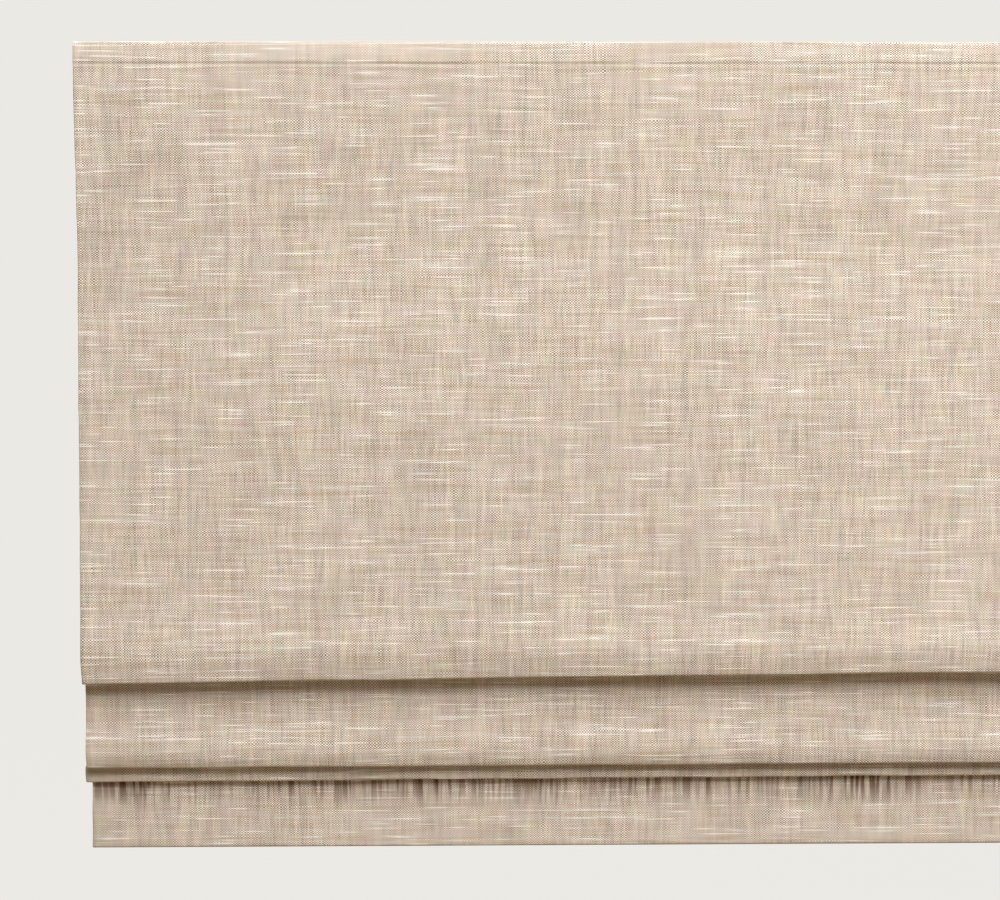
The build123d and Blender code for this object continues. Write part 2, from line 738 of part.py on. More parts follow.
# Ribs: a rod in a sewn sleeve, with clips whose eyes the lift cords run through
rod_end = cloth_edge - rod_inset
sleeve_end = rod_end - rod_cap_length - sleeve_end_gap
gathered_levels = [rib_1_level - rod_drop, rib_2_level - rod_drop, rib_3_level - rod_drop]
ribs = [(rod_0_y, rib_0_level)] + [(gathered_rod_y, level) for level in gathered_levels]
clip_inner = sleeve_radius + guide_gap
clip_outer = clip_inner + guide_wall


def clip_face(y, level):
    """The part of a guide that snaps round the sleeve."""
    with BuildLine() as outline:
        inner = CenterArc((y, level), clip_inner, guide_arc[0], guide_arc[1] - guide_arc[0])
        outer = CenterArc((y, level), clip_outer, guide_arc[0], guide_arc[1] - guide_arc[0])
        Line(inner @ 0, outer @ 0)
        Line(inner @ 1, outer @ 1)
    make_face(outline.edges())


for number, (y, level) in enumerate(ribs):
    with BuildPart() as rib_rod:
        with BuildSketch(Plane.YZ):
            with Locations((y, level)):
                Circle(rod_radius)
        extrude(amount=rod_end - rod_cap_wall - cap_fit, both=True)
    write(rib_rod, f"rib_rod_{number}")

    with BuildPart() as rib_sleeve:
        with BuildSketch(Plane.YZ):
            with Locations((y, level)):
                Circle(sleeve_radius)
            with Locations((y - sleeve_radius + sleeve_wall, level - sleeve_tab / 2)):
                Rectangle(2 * sleeve_wall, sleeve_tab)
            with Locations((y, level)):
                Circle(sleeve_bore, mode=Mode.SUBTRACT)
        extrude(amount=sleeve_end, both=True)
    write(rib_sleeve, f"rib_sleeve_{number}")

    with BuildPart() as rib_guides:
        for x in cord_x:
            with BuildSketch(Plane.YZ.offset(x - guide_width / 2)):
                clip_face(y, level)
            extrude(amount=guide_width)
            with BuildSketch(Plane.XY.offset(level - eye_height / 2)):
                with Locations((x, y + eye_offset)):
                    Circle(eye_radius + eye_wall)
                with Locations((x, y)):
                    Rectangle(guide_width, 2 * (clip_inner + guide_wall / 2), mode=Mode.SUBTRACT)
            extrude(amount=eye_height)
            with Locations((x, y + eye_offset, level)):
                Cylinder(eye_radius, 4 * eye_height, mode=Mode.SUBTRACT)
    write(rib_guides, f"rib_guides_{number}")

    with BuildPart() as rib_caps:
        for side in (-1, 1):
            with BuildSketch(Plane.YZ.offset(side * rod_end)):
                with Locations((y, level)):
                    Circle(rod_radius + rod_cap_wall)
            extrude(amount=-side * rod_cap_length)
            with BuildSketch(Plane.YZ.offset(side * (rod_end - rod_cap_wall))):
                with Locations((y, level)):
                    Circle(rod_radius + cap_fit)
            extrude(amount=-side * rod_cap_length, mode=Mode.SUBTRACT)
    write(rib_caps, f"rib_caps_{number}")

# Lift cords: off the drum, down through the top rib's eye and back to the gathered ribs
stop_top = gathered_levels[-1] - eye_height / 2 - stop_gap
cord_end = stop_top - stop_length + stop_radius
for x, side in zip(cord_x, ("left", "middle", "right")):
    with BuildPart() as lift_cord:
        with BuildLine(Plane.YZ.offset(x)) as path:
            CenterArc((shaft_y, shaft_level), wrap_radius, 180 - cord_wrap, cord_wrap)
            FilletPolyline(
                (cord_top_y, shaft_level), (cord_top_y, rib_0_level),
                (cord_low_y, gathered_levels[0]), (cord_low_y, cord_end),
                radius=[cord_bend] * 2,
            )
        with BuildSketch(Plane(origin=path.line @ 0, z_dir=path.line % 0)):
            RegularPolygon(cord_radius, 8)
        sweep()
    write(lift_cord, f"lift_cord_{side}")
    print(f"lift cord {side} is {path.wires()[0].length:.0f} mm long beside its winding")

with BuildPart() as cord_stops:
    for x in cord_x:
        with BuildSketch(Plane.XZ.offset(-cord_low_y)):
            with BuildLine():
                Polyline(
                    (x, stop_top), (x + stop_neck, stop_top), (x + stop_radius, stop_top - stop_cone),
                    (x + stop_radius - stop_chamfer, stop_top - stop_length),
                    (x, stop_top - stop_length), close=True,
                )
            make_face()
        revolve(axis=Axis((x, cord_low_y, 0), (0, 0, 1)))
    with Locations([(x, cord_low_y, stop_top) for x in cord_x]):
        Cylinder(cord_radius + stop_bore_clearance, 3 * stop_length, mode=Mode.SUBTRACT)
write(cord_stops, "cord_stops")

# Weight bar in the bottom hem, with a cap on each end
pocket_front = skirt_y + sheet_thickness
bar_y = (pocket_front + skirt_y + hem_pocket - cloth_thickness) / 2
bar_level = hem_bottom + cloth_thickness + bar_lift + bar_cap_wall + bar_height / 2
bar_end = cloth_edge - bar_inset


def bar_face(margin):
    with Locations((bar_y, bar_level)):
        RectangleRounded(bar_thickness + 2 * margin, bar_height + 2 * margin, bar_round + margin)


with BuildPart() as weight_bar:
    with BuildSketch(Plane.YZ):
        bar_face(0)
    extrude(amount=bar_end - bar_cap_wall - cap_fit, both=True)
write(weight_bar, "weight_bar")

with BuildPart() as weight_bar_caps:
    for side in (-1, 1):
        with BuildSketch(Plane.YZ.offset(side * bar_end)):
            bar_face(bar_cap_wall)
        extrude(amount=-side * bar_cap_length)
        with BuildSketch(Plane.YZ.offset(side * (bar_end - bar_cap_wall))):
            bar_face(cap_fit)
        extrude(amount=-side * bar_cap_length, mode=Mode.SUBTRACT)
write(weight_bar_caps, "weight_bar_caps")
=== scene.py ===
import math
import bmesh
import bpy
import numpy as np
from mathutils import Matrix, Vector


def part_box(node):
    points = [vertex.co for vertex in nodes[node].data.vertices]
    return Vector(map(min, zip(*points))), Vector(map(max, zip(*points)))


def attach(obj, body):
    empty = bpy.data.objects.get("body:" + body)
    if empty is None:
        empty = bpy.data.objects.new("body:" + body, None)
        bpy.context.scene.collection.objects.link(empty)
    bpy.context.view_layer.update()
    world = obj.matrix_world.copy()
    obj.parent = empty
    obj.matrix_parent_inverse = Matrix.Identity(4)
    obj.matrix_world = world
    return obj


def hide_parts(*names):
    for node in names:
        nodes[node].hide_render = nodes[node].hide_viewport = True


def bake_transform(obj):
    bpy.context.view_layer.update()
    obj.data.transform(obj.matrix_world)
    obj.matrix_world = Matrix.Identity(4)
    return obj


# A flat-fold roman blind in slubby linen, partly raised, hung from its headrail.
# The room is at -Y, X runs along the blind and Z is up. Places here are in millimetres until a mesh is made.
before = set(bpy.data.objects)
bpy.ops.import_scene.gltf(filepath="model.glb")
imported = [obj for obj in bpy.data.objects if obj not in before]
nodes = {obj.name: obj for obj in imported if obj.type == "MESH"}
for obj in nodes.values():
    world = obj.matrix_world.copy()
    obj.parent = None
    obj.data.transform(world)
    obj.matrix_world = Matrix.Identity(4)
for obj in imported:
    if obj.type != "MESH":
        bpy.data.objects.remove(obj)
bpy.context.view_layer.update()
mm = 0.001
print("frame loaded with", len(nodes), "nodes")


# Small helpers for colours, nodes and materials
def linear(hexColour):
    parts = [int(hexColour[i:i + 2], 16) / 255 for i in (1, 3, 5)]
    return (*[c / 12.92 if c <= 0.04045 else ((c + 0.055) / 1.055) ** 2.4 for c in parts], 1.0)


def addNode(tree, kind, links=None, **settings):
    node = tree.nodes.new(kind)
    for name, value in settings.items():
        setattr(node, name, value)
    for key, value in (links or {}).items():
        if isinstance(value, bpy.types.Node):
            value = value.outputs[0]
        if isinstance(value, bpy.types.NodeSocket):
            tree.links.new(value, node.inputs[key])
        else:
            node.inputs[key].default_value = value
    return node


def calculate(tree, operation, *terms):
    return addNode(tree, "ShaderNodeMath", dict(enumerate(terms)), operation=operation)


def mapRange(tree, value, low, high, lowResult=0.0, highResult=1.0, **settings):
    links = {0: value, 1: low, 2: high, 3: lowResult, 4: highResult}
    return addNode(tree, "ShaderNodeMapRange", links, **settings)


def mixColours(tree, share, first, second, **settings):
    mixed = addNode(tree, "ShaderNodeMix", {0: share, 6: first, 7: second}, data_type="RGBA", **settings)
    return mixed.outputs[2]


def shadeBetween(tree, value, low, high, dark, light):
    return mixColours(tree, mapRange(tree, value, low, high), linear(dark), linear(light))


def scaled(tree, place, repeats):
    return addNode(tree, "ShaderNodeMapping", {0: place, 3: repeats})


def flatNoise(tree, place, scale, detail):
    links = {"Vector": place, "Scale": scale, "Detail": detail}
    return addNode(tree, "ShaderNodeTexNoise", links, noise_dimensions="2D")


def addBump(tree, surface, strength, distance, height):
    # the distance is in mm
    links = {"Strength": strength, "Distance": distance * mm, "Height": height}
    bump = addNode(tree, "ShaderNodeBump", links)
    tree.links.new(bump.outputs[0], surface.inputs["Normal"])


def newMaterial(name, sockets):
    material = bpy.data.materials.new(name)
    material.use_nodes = True
    tree = material.node_tree
    tree.nodes.clear()
    surface = addNode(tree, "ShaderNodeBsdfPrincipled", sockets)
    addNode(tree, "ShaderNodeOutputMaterial", {"Surface": surface})
    return material, tree, surface


def perMetre(size):
    return 1000 / size      # a size in mm as repeats in a metre


def boxOf(node):
    low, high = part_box(node)
    return low / mm, high / mm


def centreOf(node):
    return [(a + b) / 2 for a, b in zip(*boxOf(node))]


# Most of a noise texture's values lie in this range
noiseLow, noiseHigh = 0.3, 0.7

# Linen and cotton plain weave: uneven yarns with pale slubs, matt, lit a little by its fuzz
linen = {
    # mm from one yarn to the next, mm along a yarn over which it changes, and what sets its noise apart
    "warp": {"spacing": 1.43, "run": 30.0, "apart": 7.31, "dark": "#6b5440", "light": "#b9a793"},
    "weft": {"spacing": 1.1, "run": 70.0, "apart": 5.17, "dark": "#dccebb", "light": "#fffaf2"},
    # mm over which yarns crowd and part, and how far they shift
    "wander": {"across": 9.0, "along": 130.0, "shift": 2.4},
    "slub": "#fffaf2",
    "slubNoise": (0.66, 0.74),   # the yarn's thickness at which a slub begins and is whole
    "slubBuried": 0.6,      # how much a slub hides the warp that crosses over it
    "gapShade": 0.25,
    "blotch": 38.0,
    "blotchNoise": (0.25, 0.75),
    "blotchShade": 0.05,
    "tint": 20.0,           # mm across the pinkish and greenish patches
    "tintShade": 0.13,
    "streak": 7.0,
    "streakRepeats": 3.0,   # in a metre down the cloth
    "streakShade": 0.07,
    "bump": 0.35,
    "yarnHeight": 0.3,
    "gather": 3.8,          # mm from one fine gather to the next, in the skirt under the lowest fold
    "gatherRepeats": 14.0,  # in a metre down the cloth
    "gatherNoise": (0.38, 0.6),   # from a gather's valley to its ridge
    "gatherStart": 1526.5,  # mm along the cloth where they begin
    "gatherLength": 40.0,
    # painted shade: the colour that the gathers' valleys are darkened towards
    "gatherValleyPaintedShade": "#86644a",
    "gatherHeight": 2.0,    # as a multiple of the yarn's height
    "patch": 90.0,          # mm across the places where they are stronger
    "patchNoise": (0.35, 0.6),
    "patchLeast": 0.35,     # their strength in between
}


def yarns(tree, place, axis, yarn, wander):
    # one direction of yarns: the yarn's number, how thick it is here, and its round profile
    spread = addNode(tree, "ShaderNodeCombineXYZ", {0: place.outputs[axis], 1: place.outputs[1 - axis]})
    spread = scaled(tree, spread, (perMetre(wander["across"]), perMetre(wander["along"]), 1.0))
    drift = flatNoise(tree, spread, 1.0, 1.0)
    strayed = calculate(tree, "MULTIPLY_ADD", drift, wander["shift"] * mm, place.outputs[axis])
    across = calculate(tree, "MULTIPLY", strayed, perMetre(yarn["spacing"]))
    number = calculate(tree, "FLOOR", across)
    along = calculate(tree, "MULTIPLY", place.outputs[1 - axis], perMetre(yarn["run"]))
    apart = calculate(tree, "MULTIPLY", number, yarn["apart"])
    spot = addNode(tree, "ShaderNodeCombineXYZ", {0: apart, 1: along})
    uneven = flatNoise(tree, spot, 1.0, 2.0)
    part = calculate(tree, "FRACT", across)
    middle = calculate(tree, "MULTIPLY_ADD", part, 2.0, -1.0)
    edge = calculate(tree, "MULTIPLY", middle, middle)
    return number, uneven.outputs[0], edge


def fineGathers(tree, uv, values):
    # thin upright gathers that hang from the lowest fold and fade down the skirt: painted shade in their
    # valleys, and their height
    down = addNode(tree, "ShaderNodeSeparateXYZ", {0: uv}).outputs[1]
    squeezed = scaled(tree, uv, (perMetre(values["gather"]), values["gatherRepeats"], 1.0))
    wave = flatNoise(tree, squeezed, 1.0, 1.0)
    wide = scaled(tree, uv, (perMetre(values["patch"]), 0.0, 1.0))
    where = flatNoise(tree, wide, 1.0, 1.0)
    here = mapRange(tree, where, *values["patchNoise"], values["patchLeast"], 1.0)
    begin, end = values["gatherStart"] * mm, (values["gatherStart"] + values["gatherLength"]) * mm
    fade = mapRange(tree, down, begin, end, 1.0, 0.0, interpolation_type="SMOOTHSTEP")
    skirt = calculate(tree, "GREATER_THAN", down, begin)
    amount = calculate(tree, "MULTIPLY", fade, skirt)
    amount = calculate(tree, "MULTIPLY", amount, here)
    ridge = mapRange(tree, wave, *values["gatherNoise"])
    depth = calculate(tree, "MULTIPLY", ridge, amount)
    valley = calculate(tree, "SUBTRACT", amount, depth)
    # painted shade in the gathers' valleys, from white to the dark gather colour
    shade = shadeBetween(tree, valley, 0.0, 1.0, "#ffffff", values["gatherValleyPaintedShade"])
    height = calculate(tree, "MULTIPLY", depth, values["gatherHeight"])
    return shade, height


def tones(tree, noise, low, high, shade):
    # a noise as a factor about 1
    return mapRange(tree, noise, low, high, 1 - shade, 1 + shade)


def wovenLinen(values):
    material, tree, surface = newMaterial("wovenLinenCotton", {
        "Roughness": 0.9, "IOR": 1.45, "Specular IOR Level": 0.25,
        "Sheen Weight": 0.12, "Sheen Roughness": 0.5})
    uv = addNode(tree, "ShaderNodeUVMap", uv_map="UVMap")
    place = addNode(tree, "ShaderNodeSeparateXYZ", {0: uv})
    warp, warpUneven, warpEdge = yarns(tree, place, 0, values["warp"], values["wander"])
    weft, weftUneven, weftEdge = yarns(tree, place, 1, values["weft"], values["wander"])
    both = calculate(tree, "ADD", warp, weft)
    over = calculate(tree, "FLOORED_MODULO", both, 2.0)
    warpShade, weftShade = (
        shadeBetween(tree, uneven, noiseLow, noiseHigh, values[name]["dark"], values[name]["light"])
        for name, uneven in (("warp", warpUneven), ("weft", weftUneven)))
    slub = mapRange(tree, weftUneven, *values["slubNoise"])
    weftWhole = mixColours(tree, slub, weftShade, linear(values["slub"]))
    crossing = mixColours(tree, over, warpShade, weftWhole)
    buried = calculate(tree, "MULTIPLY", slub, values["slubBuried"])
    slubOver = mixColours(tree, buried, crossing, weftWhole)
    edges = calculate(tree, "MAXIMUM", warpEdge, weftEdge)
    gap = calculate(tree, "MULTIPLY_ADD", edges, -values["gapShade"], 1.0)
    # broad blotches and long faint streaks down the warp
    blotch = flatNoise(tree, uv, perMetre(values["blotch"]), 2.0)
    stretched = scaled(tree, uv, (perMetre(values["streak"]), values["streakRepeats"], 1.0))
    streak = flatNoise(tree, stretched, 1.0, 3.0)
    blotchTone = tones(tree, blotch, *values["blotchNoise"], values["blotchShade"])
    streakTone = tones(tree, streak, noiseLow, noiseHigh, values["streakShade"])
    tone = calculate(tree, "MULTIPLY", blotchTone, streakTone)
    tone = calculate(tree, "MULTIPLY", tone, gap)
    # painted shade in the skirt's gather valleys, and the gathers' bump height
    gather, depth = fineGathers(tree, uv, values)
    patches = flatNoise(tree, uv, perMetre(values["tint"]), 3.0)
    tint = addNode(tree, "ShaderNodeVectorMath", {
        0: patches.outputs["Color"], 1: (values["tintShade"],) * 3, 2: (1 - values["tintShade"] / 2,) * 3},
        operation="MULTIPLY_ADD")
    tinted = addNode(tree, "ShaderNodeVectorMath", {0: tint, "Scale": tone}, operation="SCALE")
    tinted = addNode(tree, "ShaderNodeVectorMath", {0: tinted, 1: gather}, operation="MULTIPLY")
    colour = mixColours(tree, 1.0, slubOver, tinted, blend_type="MULTIPLY")
    tree.links.new(colour, surface.inputs["Base Color"])
    height = calculate(tree, "ADD", gap, slub)
    height = calculate(tree, "ADD", height, depth)
    addBump(tree, surface, values["bump"], values["yarnHeight"], height)
    return material


# Cotton sateen lining: cream, smooth and close woven, with a slight gloss
lining = {"colours": ("#e6dfcf", "#f1ebde"), "thread": 1.3, "run": 18.0, "slant": 0.0, "yarnHeight": 0.1}
# Twill tape of the rib sleeves: white cotton with slanted lines
sleeveTape = {"colours": ("#d9d2c3", "#f2eee4"), "thread": 1.4, "run": 9.0, "slant": 1.0, "yarnHeight": 0.15}
# Both are drawn coarser than the real thread of about 0.4 mm, so that it shows
threads = {"ridge": 0.18, "range": (0.2, 0.8), "bump": 0.4}


def fineWeave(name, values):
    material, tree, surface = newMaterial(name, {
        "Roughness": 0.8, "IOR": 1.45, "Specular IOR Level": 0.35, "Sheen Weight": 0.08})
    uv = addNode(tree, "ShaderNodeUVMap", uv_map="UVMap")
    place = addNode(tree, "ShaderNodeSeparateXYZ", {0: uv})
    lean = calculate(tree, "MULTIPLY_ADD", place.outputs[0], values["slant"], place.outputs[1])
    wave = calculate(tree, "MULTIPLY", lean, 2 * math.pi * perMetre(values["thread"]))
    ridge = calculate(tree, "SINE", wave)
    stretched = scaled(tree, uv, (perMetre(values["run"]), perMetre(values["thread"]), 1.0))
    uneven = flatNoise(tree, stretched, 1.0, 2.0)
    level = calculate(tree, "MULTIPLY_ADD", ridge, threads["ridge"], uneven.outputs[0])
    colour = shadeBetween(tree, level, *threads["range"], *values["colours"])
    tree.links.new(colour, surface.inputs["Base Color"])
    addBump(tree, surface, threads["bump"], values["yarnHeight"], level)
    return material


# Braided polyester cord: eight carriers crossing, white with a soft gloss
braid = {
    "colours": ("#cfcac0", "#f4f1ea"), "pitch": 3.2, "carriersEachWay": 4, "range": 0.8, "bump": 0.5,
    "yarnHeight": 0.12,
}


def braidedCord(values):
    material, tree, surface = newMaterial("braidedPolyester", {
        "Roughness": 0.55, "IOR": 1.57, "Sheen Weight": 0.1})
    ring = addNode(tree, "ShaderNodeAttribute", attribute_name="ring")
    along = addNode(tree, "ShaderNodeAttribute", attribute_name="along")
    sides = addNode(tree, "ShaderNodeSeparateXYZ", {0: ring.outputs["Vector"]})
    turn = calculate(tree, "ARCTAN2", sides.outputs[1], sides.outputs[0])
    turns = calculate(tree, "MULTIPLY", turn, float(values["carriersEachWay"]))
    run = calculate(tree, "MULTIPLY", along.outputs["Fac"], 2 * math.pi * perMetre(values["pitch"]))
    waves = []
    for sign in (1.0, -1.0):
        slope = calculate(tree, "MULTIPLY_ADD", turns, sign, run)
        waves.append(calculate(tree, "SINE", slope))
    crossed = calculate(tree, "MULTIPLY", *waves)
    colour = shadeBetween(tree, crossed, -values["range"], values["range"], *values["colours"])
    tree.links.new(colour, surface.inputs["Base Color"])
    addBump(tree, surface, values["bump"], values["yarnHeight"], crossed)
    return material


# How the fine grain of a moulded, coated or drawn surface changes its gloss
grain = {"smoother": 0.85, "rougher": 1.2, "bump": 0.35}


def grained(name, sockets, colours, mottle, size, depth, stretch=(1.0, 1.0, 1.0)):
    # mottling between two colours, then a fine grain that only the gloss shows, all in mm
    material, tree, surface = newMaterial(name, sockets)
    place = addNode(tree, "ShaderNodeTexCoord").outputs["Object"]
    pulled = scaled(tree, place, stretch)
    cloud = addNode(tree, "ShaderNodeTexNoise", {"Vector": pulled, "Scale": perMetre(mottle), "Detail": 3.0})
    tone = shadeBetween(tree, cloud, noiseLow, noiseHigh, *colours)
    tree.links.new(tone, surface.inputs["Base Color"])
    fine = addNode(tree, "ShaderNodeTexNoise", {"Vector": pulled, "Scale": perMetre(size), "Detail": 2.0})
    roughness = sockets["Roughness"]
    rough = mapRange(tree, fine, noiseLow, noiseHigh, roughness * grain["smoother"],
                     min(1.0, roughness * grain["rougher"]))
    tree.links.new(rough.outputs[0], surface.inputs["Roughness"])
    addBump(tree, surface, grain["bump"], depth, fine)
    return material


# Spring steel strip: dark and bluish, its turns show as rings on the coil's ends.
# Each turn is drawn 0.45 mm thick and not 0.3 mm, so that the rings show.
spring = {
    "colours": ("#4f4c4a", "#a39e97"), "turn": 0.45, "range": (-1.0, 0.6), "bump": 0.5, "turnHeight": 0.1,
    "drums": ("storage_drum", "output_drum"),
}


def coiledStrip(values):
    material, tree, surface = newMaterial("springSteel", {"Metallic": 1.0, "Roughness": 0.32})
    place = addNode(tree, "ShaderNodeTexCoord").outputs["Object"]
    distances = []
    for drum in values["drums"]:
        low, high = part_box(drum)
        centre = (low + high) / 2
        moved = addNode(tree, "ShaderNodeVectorMath", {0: place, 1: tuple(centre)}, operation="SUBTRACT")
        flat = addNode(tree, "ShaderNodeVectorMath", {0: moved, 1: (0.0, 1.0, 1.0)}, operation="MULTIPLY")
        distance = addNode(tree, "ShaderNodeVectorMath", {0: flat}, operation="LENGTH")
        distances.append(distance.outputs["Value"])
    nearest = calculate(tree, "MINIMUM", *distances)
    wave = calculate(tree, "MULTIPLY", nearest, 2 * math.pi * perMetre(values["turn"]))
    ridge = calculate(tree, "SINE", wave)
    tone = shadeBetween(tree, ridge, *values["range"], *values["colours"])
    tree.links.new(tone, surface.inputs["Base Color"])
    addBump(tree, surface, values["bump"], values["turnHeight"], ridge)
    return material


linenCloth = wovenLinen(linen)
liningCloth = fineWeave("cottonSateen", lining)
twillTape = fineWeave("cottonTwillTape", sleeveTape)
cordBraid = braidedCord(braid)
# White polyester sewing thread, drawn thick enough to show
sewingThread = grained("sewingThread", {"Roughness": 0.6, "IOR": 1.57}, ("#d8cbb6", "#eee6d8"),
                       1.5, 0.4, 0.05)
# Powder-coated aluminium: even satin white with a faint orange peel
powderCoat = grained("powderCoatedAluminium", {"Roughness": 0.38, "Coat Weight": 0.15, "Coat Roughness": 0.3},
                     ("#dedbd3", "#e8e5de"), 60.0, 1.4, 0.04)
# Zinc-plated pressed steel: cool grey with a cloudy passivated film
zincPlate = grained("zincPlatedSteel", {"Metallic": 1.0, "Roughness": 0.36}, ("#a8abad", "#cfd1d0"),
                    6.0, 0.5, 0.03)
# Drawn steel shaft: fine lines along its length
drawnSteel = grained("drawnSteel", {"Metallic": 1.0, "Roughness": 0.28}, ("#8f9193", "#c2c3c4"),
                     1.2, 0.4, 0.02, (0.02, 1.0, 1.0))
# Painted steel bar: white enamel, thin and slightly rippled
paintedBar = grained("enamelledSteel", {"Roughness": 0.42, "Coat Weight": 0.2}, ("#d4d2cc", "#e3e1db"),
                     25.0, 1.8, 0.05)
# Moulded plastics: acetal is waxy, nylon and ABS have a fine spark-eroded grain
whiteAbs = grained("mouldedAbs", {"Roughness": 0.45, "IOR": 1.54}, ("#dcd8ce", "#e9e6de"), 14.0, 0.6, 0.04)
greyNylon = grained("mouldedNylon", {"Roughness": 0.5, "IOR": 1.53}, ("#b9b8b3", "#c9c8c3"), 9.0, 0.5, 0.05)
acetal = grained("mouldedAcetal", {"Roughness": 0.3, "IOR": 1.48, "Subsurface Weight": 0.08},
                 ("#e4e1d6", "#f0ede4"), 8.0, 0.5, 0.03)
blackNylon = grained("blackGlassNylon", {"Roughness": 0.55, "IOR": 1.53}, ("#1f2021", "#2e2f30"),
                     5.0, 0.4, 0.05)
# Clear polycarbonate clips: a little milky, so that the cord shows through
clearClip = grained("clearPolycarbonate", {"Roughness": 0.18, "IOR": 1.585, "Transmission Weight": 0.6},
                    ("#e3e6e6", "#f3f5f5"), 5.0, 0.6, 0.02)
# Pultruded glass fibre: yellowish white with long fibres
glassFibre = grained("pultrudedGlassFibre", {"Roughness": 0.4, "IOR": 1.52, "Coat Weight": 0.2},
                     ("#cfcbb4", "#e8e5d3"), 1.0, 0.5, 0.03, (0.015, 1.0, 1.0))
# Hook-and-loop tape: nylon pile, very matt and fuzzy
nylonPile = grained("nylonPile", {"Roughness": 0.85, "IOR": 1.53, "Sheen Weight": 0.4},
                    ("#cdc8bb", "#ece8de"), 1.6, 0.9, 0.3)
springSteel = coiledStrip(spring)

# Each CAD node's finish, by how its name begins, where a later entry wins
finishes = {
    "headrail_channel": powderCoat, "end_cap_": whiteAbs, "bracket_": zincPlate, "hook_tape": nylonPile,
    "loop_tape": nylonPile, "lift_shaft": drawnSteel, "spool_": greyNylon, "cradle_": whiteAbs,
    "drive_gear": acetal, "output_drum": acetal, "storage_drum": acetal, "spring_band": springSteel,
    "motor_frame": blackNylon, "motor_axles": drawnSteel, "rib_rod_": glassFibre, "rib_guides_": clearClip,
    "rib_caps_": whiteAbs, "cord_stops": whiteAbs, "weight_bar": paintedBar, "weight_bar_caps": whiteAbs,
}
for nodeName, piece in nodes.items():
    for start, finish in finishes.items():
        if nodeName.startswith(start):
            for materialSlot in piece.material_slots:
                materialSlot.material = finish
print("materials made:", len(bpy.data.materials))

# The cloth's route in the Y-Z plane, from the headrail to the hem. It follows the solids' route, but the
# third fold is deeper and the folds' bottoms are crisper, as the photograph shows them.
# Each corner is (depth, height, radius), and the lining lies to the left of the way it runs.
clothLow, clothHigh = boxOf("face_fabric")
liningLow, liningHigh = boxOf("lining")
cloth = {
    "thickness": 0.8,
    "liningThickness": 0.45,
    "plyGap": 0.2,
    "sideHem": 38.0,
    "foldSlack": 0.1,          # inner radius of the side fold
    "panelSetBack": 8.0,
    "panelLevels": (-195.0, -520.0),   # the panel hangs straight between these
    "ribs": (-347.0, -540.0, -552.5, -565.0),
    "ribSetBack": 24.0,
    "stackSetBacks": (33.0, 39.0),     # the plies' backs below the ribs, at these two levels
    "stackLevels": (-620.0, -700.0),
    "skirtSetBack": 40.0,
    "skirtStart": 6.0,         # below the third fold
    "faceGap": 0.6,
    "liningGap": 0.8,
    "stepStart": 1.2,
    "stepEnd": 10.2,
    "roundShare": 0.48,        # radius over a rib or the band's top, as a share of the room there
    "fold1": {"front": 10.0, "back": 20.6, "bottom": -615.0, "backShare": 0.46},
    "fold2": {"front": 25.0, "back": 33.3, "bottom": -704.0, "backShare": 0.46},
    "fold3": {"front": 33.5, "bottom": -719.0, "backShare": 0.42},
    "strip": {"start": 1.5, "stop": 7.5, "bend": 2.5},   # the third fold steps forward below the second
    "hemHeight": 60.0,
    "hemPocket": 7.4,
    "hemTurn": 2.4,
    "railLow": -33.8,
    "bandBelowRail": 6.0,
    "tapeLow": -25.5,
    "turnedHem": -24.75,
    "bend": 2.2,
    "foldEdge": 2.0,
    "ease": 60.0,
    "columns": 146,
    "hemColumns": 7,
    "liningColumns": 60,
}
sheetThickness = 2 * cloth["thickness"] + cloth["plyGap"]
stepBack = 2 * sheetThickness + cloth["liningGap"] + cloth["faceGap"]
bandFront = clothLow.y
clothTop = clothHigh.z
hemBottom = clothLow.z
halfWidth = clothHigh.x
skirtY = bandFront + cloth["skirtSetBack"]
panelY = bandFront + cloth["panelSetBack"]
fold1Low, fold2Low, fold3Low = (cloth[name]["bottom"] for name in ("fold1", "fold2", "fold3"))
stackLevels = (cloth["ribs"][3] - cloth["stepEnd"], *cloth["stackLevels"])
stackBack = (bandFront + cloth["ribSetBack"] + cloth["faceGap"],
             *(bandFront + setBack for setBack in cloth["stackSetBacks"]))
layerFront = {"3b": cloth["faceGap"], "3f": stepBack, "2b": stepBack + cloth["faceGap"],
              "2f": 2 * stepBack, "1b": 2 * stepBack + cloth["faceGap"]}


def ply(layer, level):
    return (stackBack[level] - layerFront[layer], stackLevels[level])


def column(count, behind):
    return bandFront + cloth["ribSetBack"] - count * stepBack + behind * cloth["faceGap"]


def gather(rib, count):
    # up one ply to its rib, past the ribs gathered below it, over the rib and down the next ply
    bend = cloth["bend"]
    top = cloth["ribs"][rib]
    up, down = [], []
    for passed in range(count):
        level = cloth["ribs"][rib + passed]
        up = [(column(passed + 1, 0), level - cloth["stepEnd"], bend),
              (column(passed, 0), level - cloth["stepStart"], bend)] + up
        down += [(column(passed, 1), level - cloth["stepStart"], bend),
                 (column(passed + 1, 1), level - cloth["stepEnd"], bend)]
    over = [(column(0, side), top, cloth["roundShare"] * cloth["faceGap"]) for side in (0, 1)]
    return up + over + down


def turned(fold, back):
    # a fold's bottom, with a crisp edge in front and a round one behind
    front, bottom = bandFront + fold["front"], fold["bottom"]
    return [(front, bottom, cloth["foldEdge"]), (back, bottom, fold["backShare"] * (back - front))]


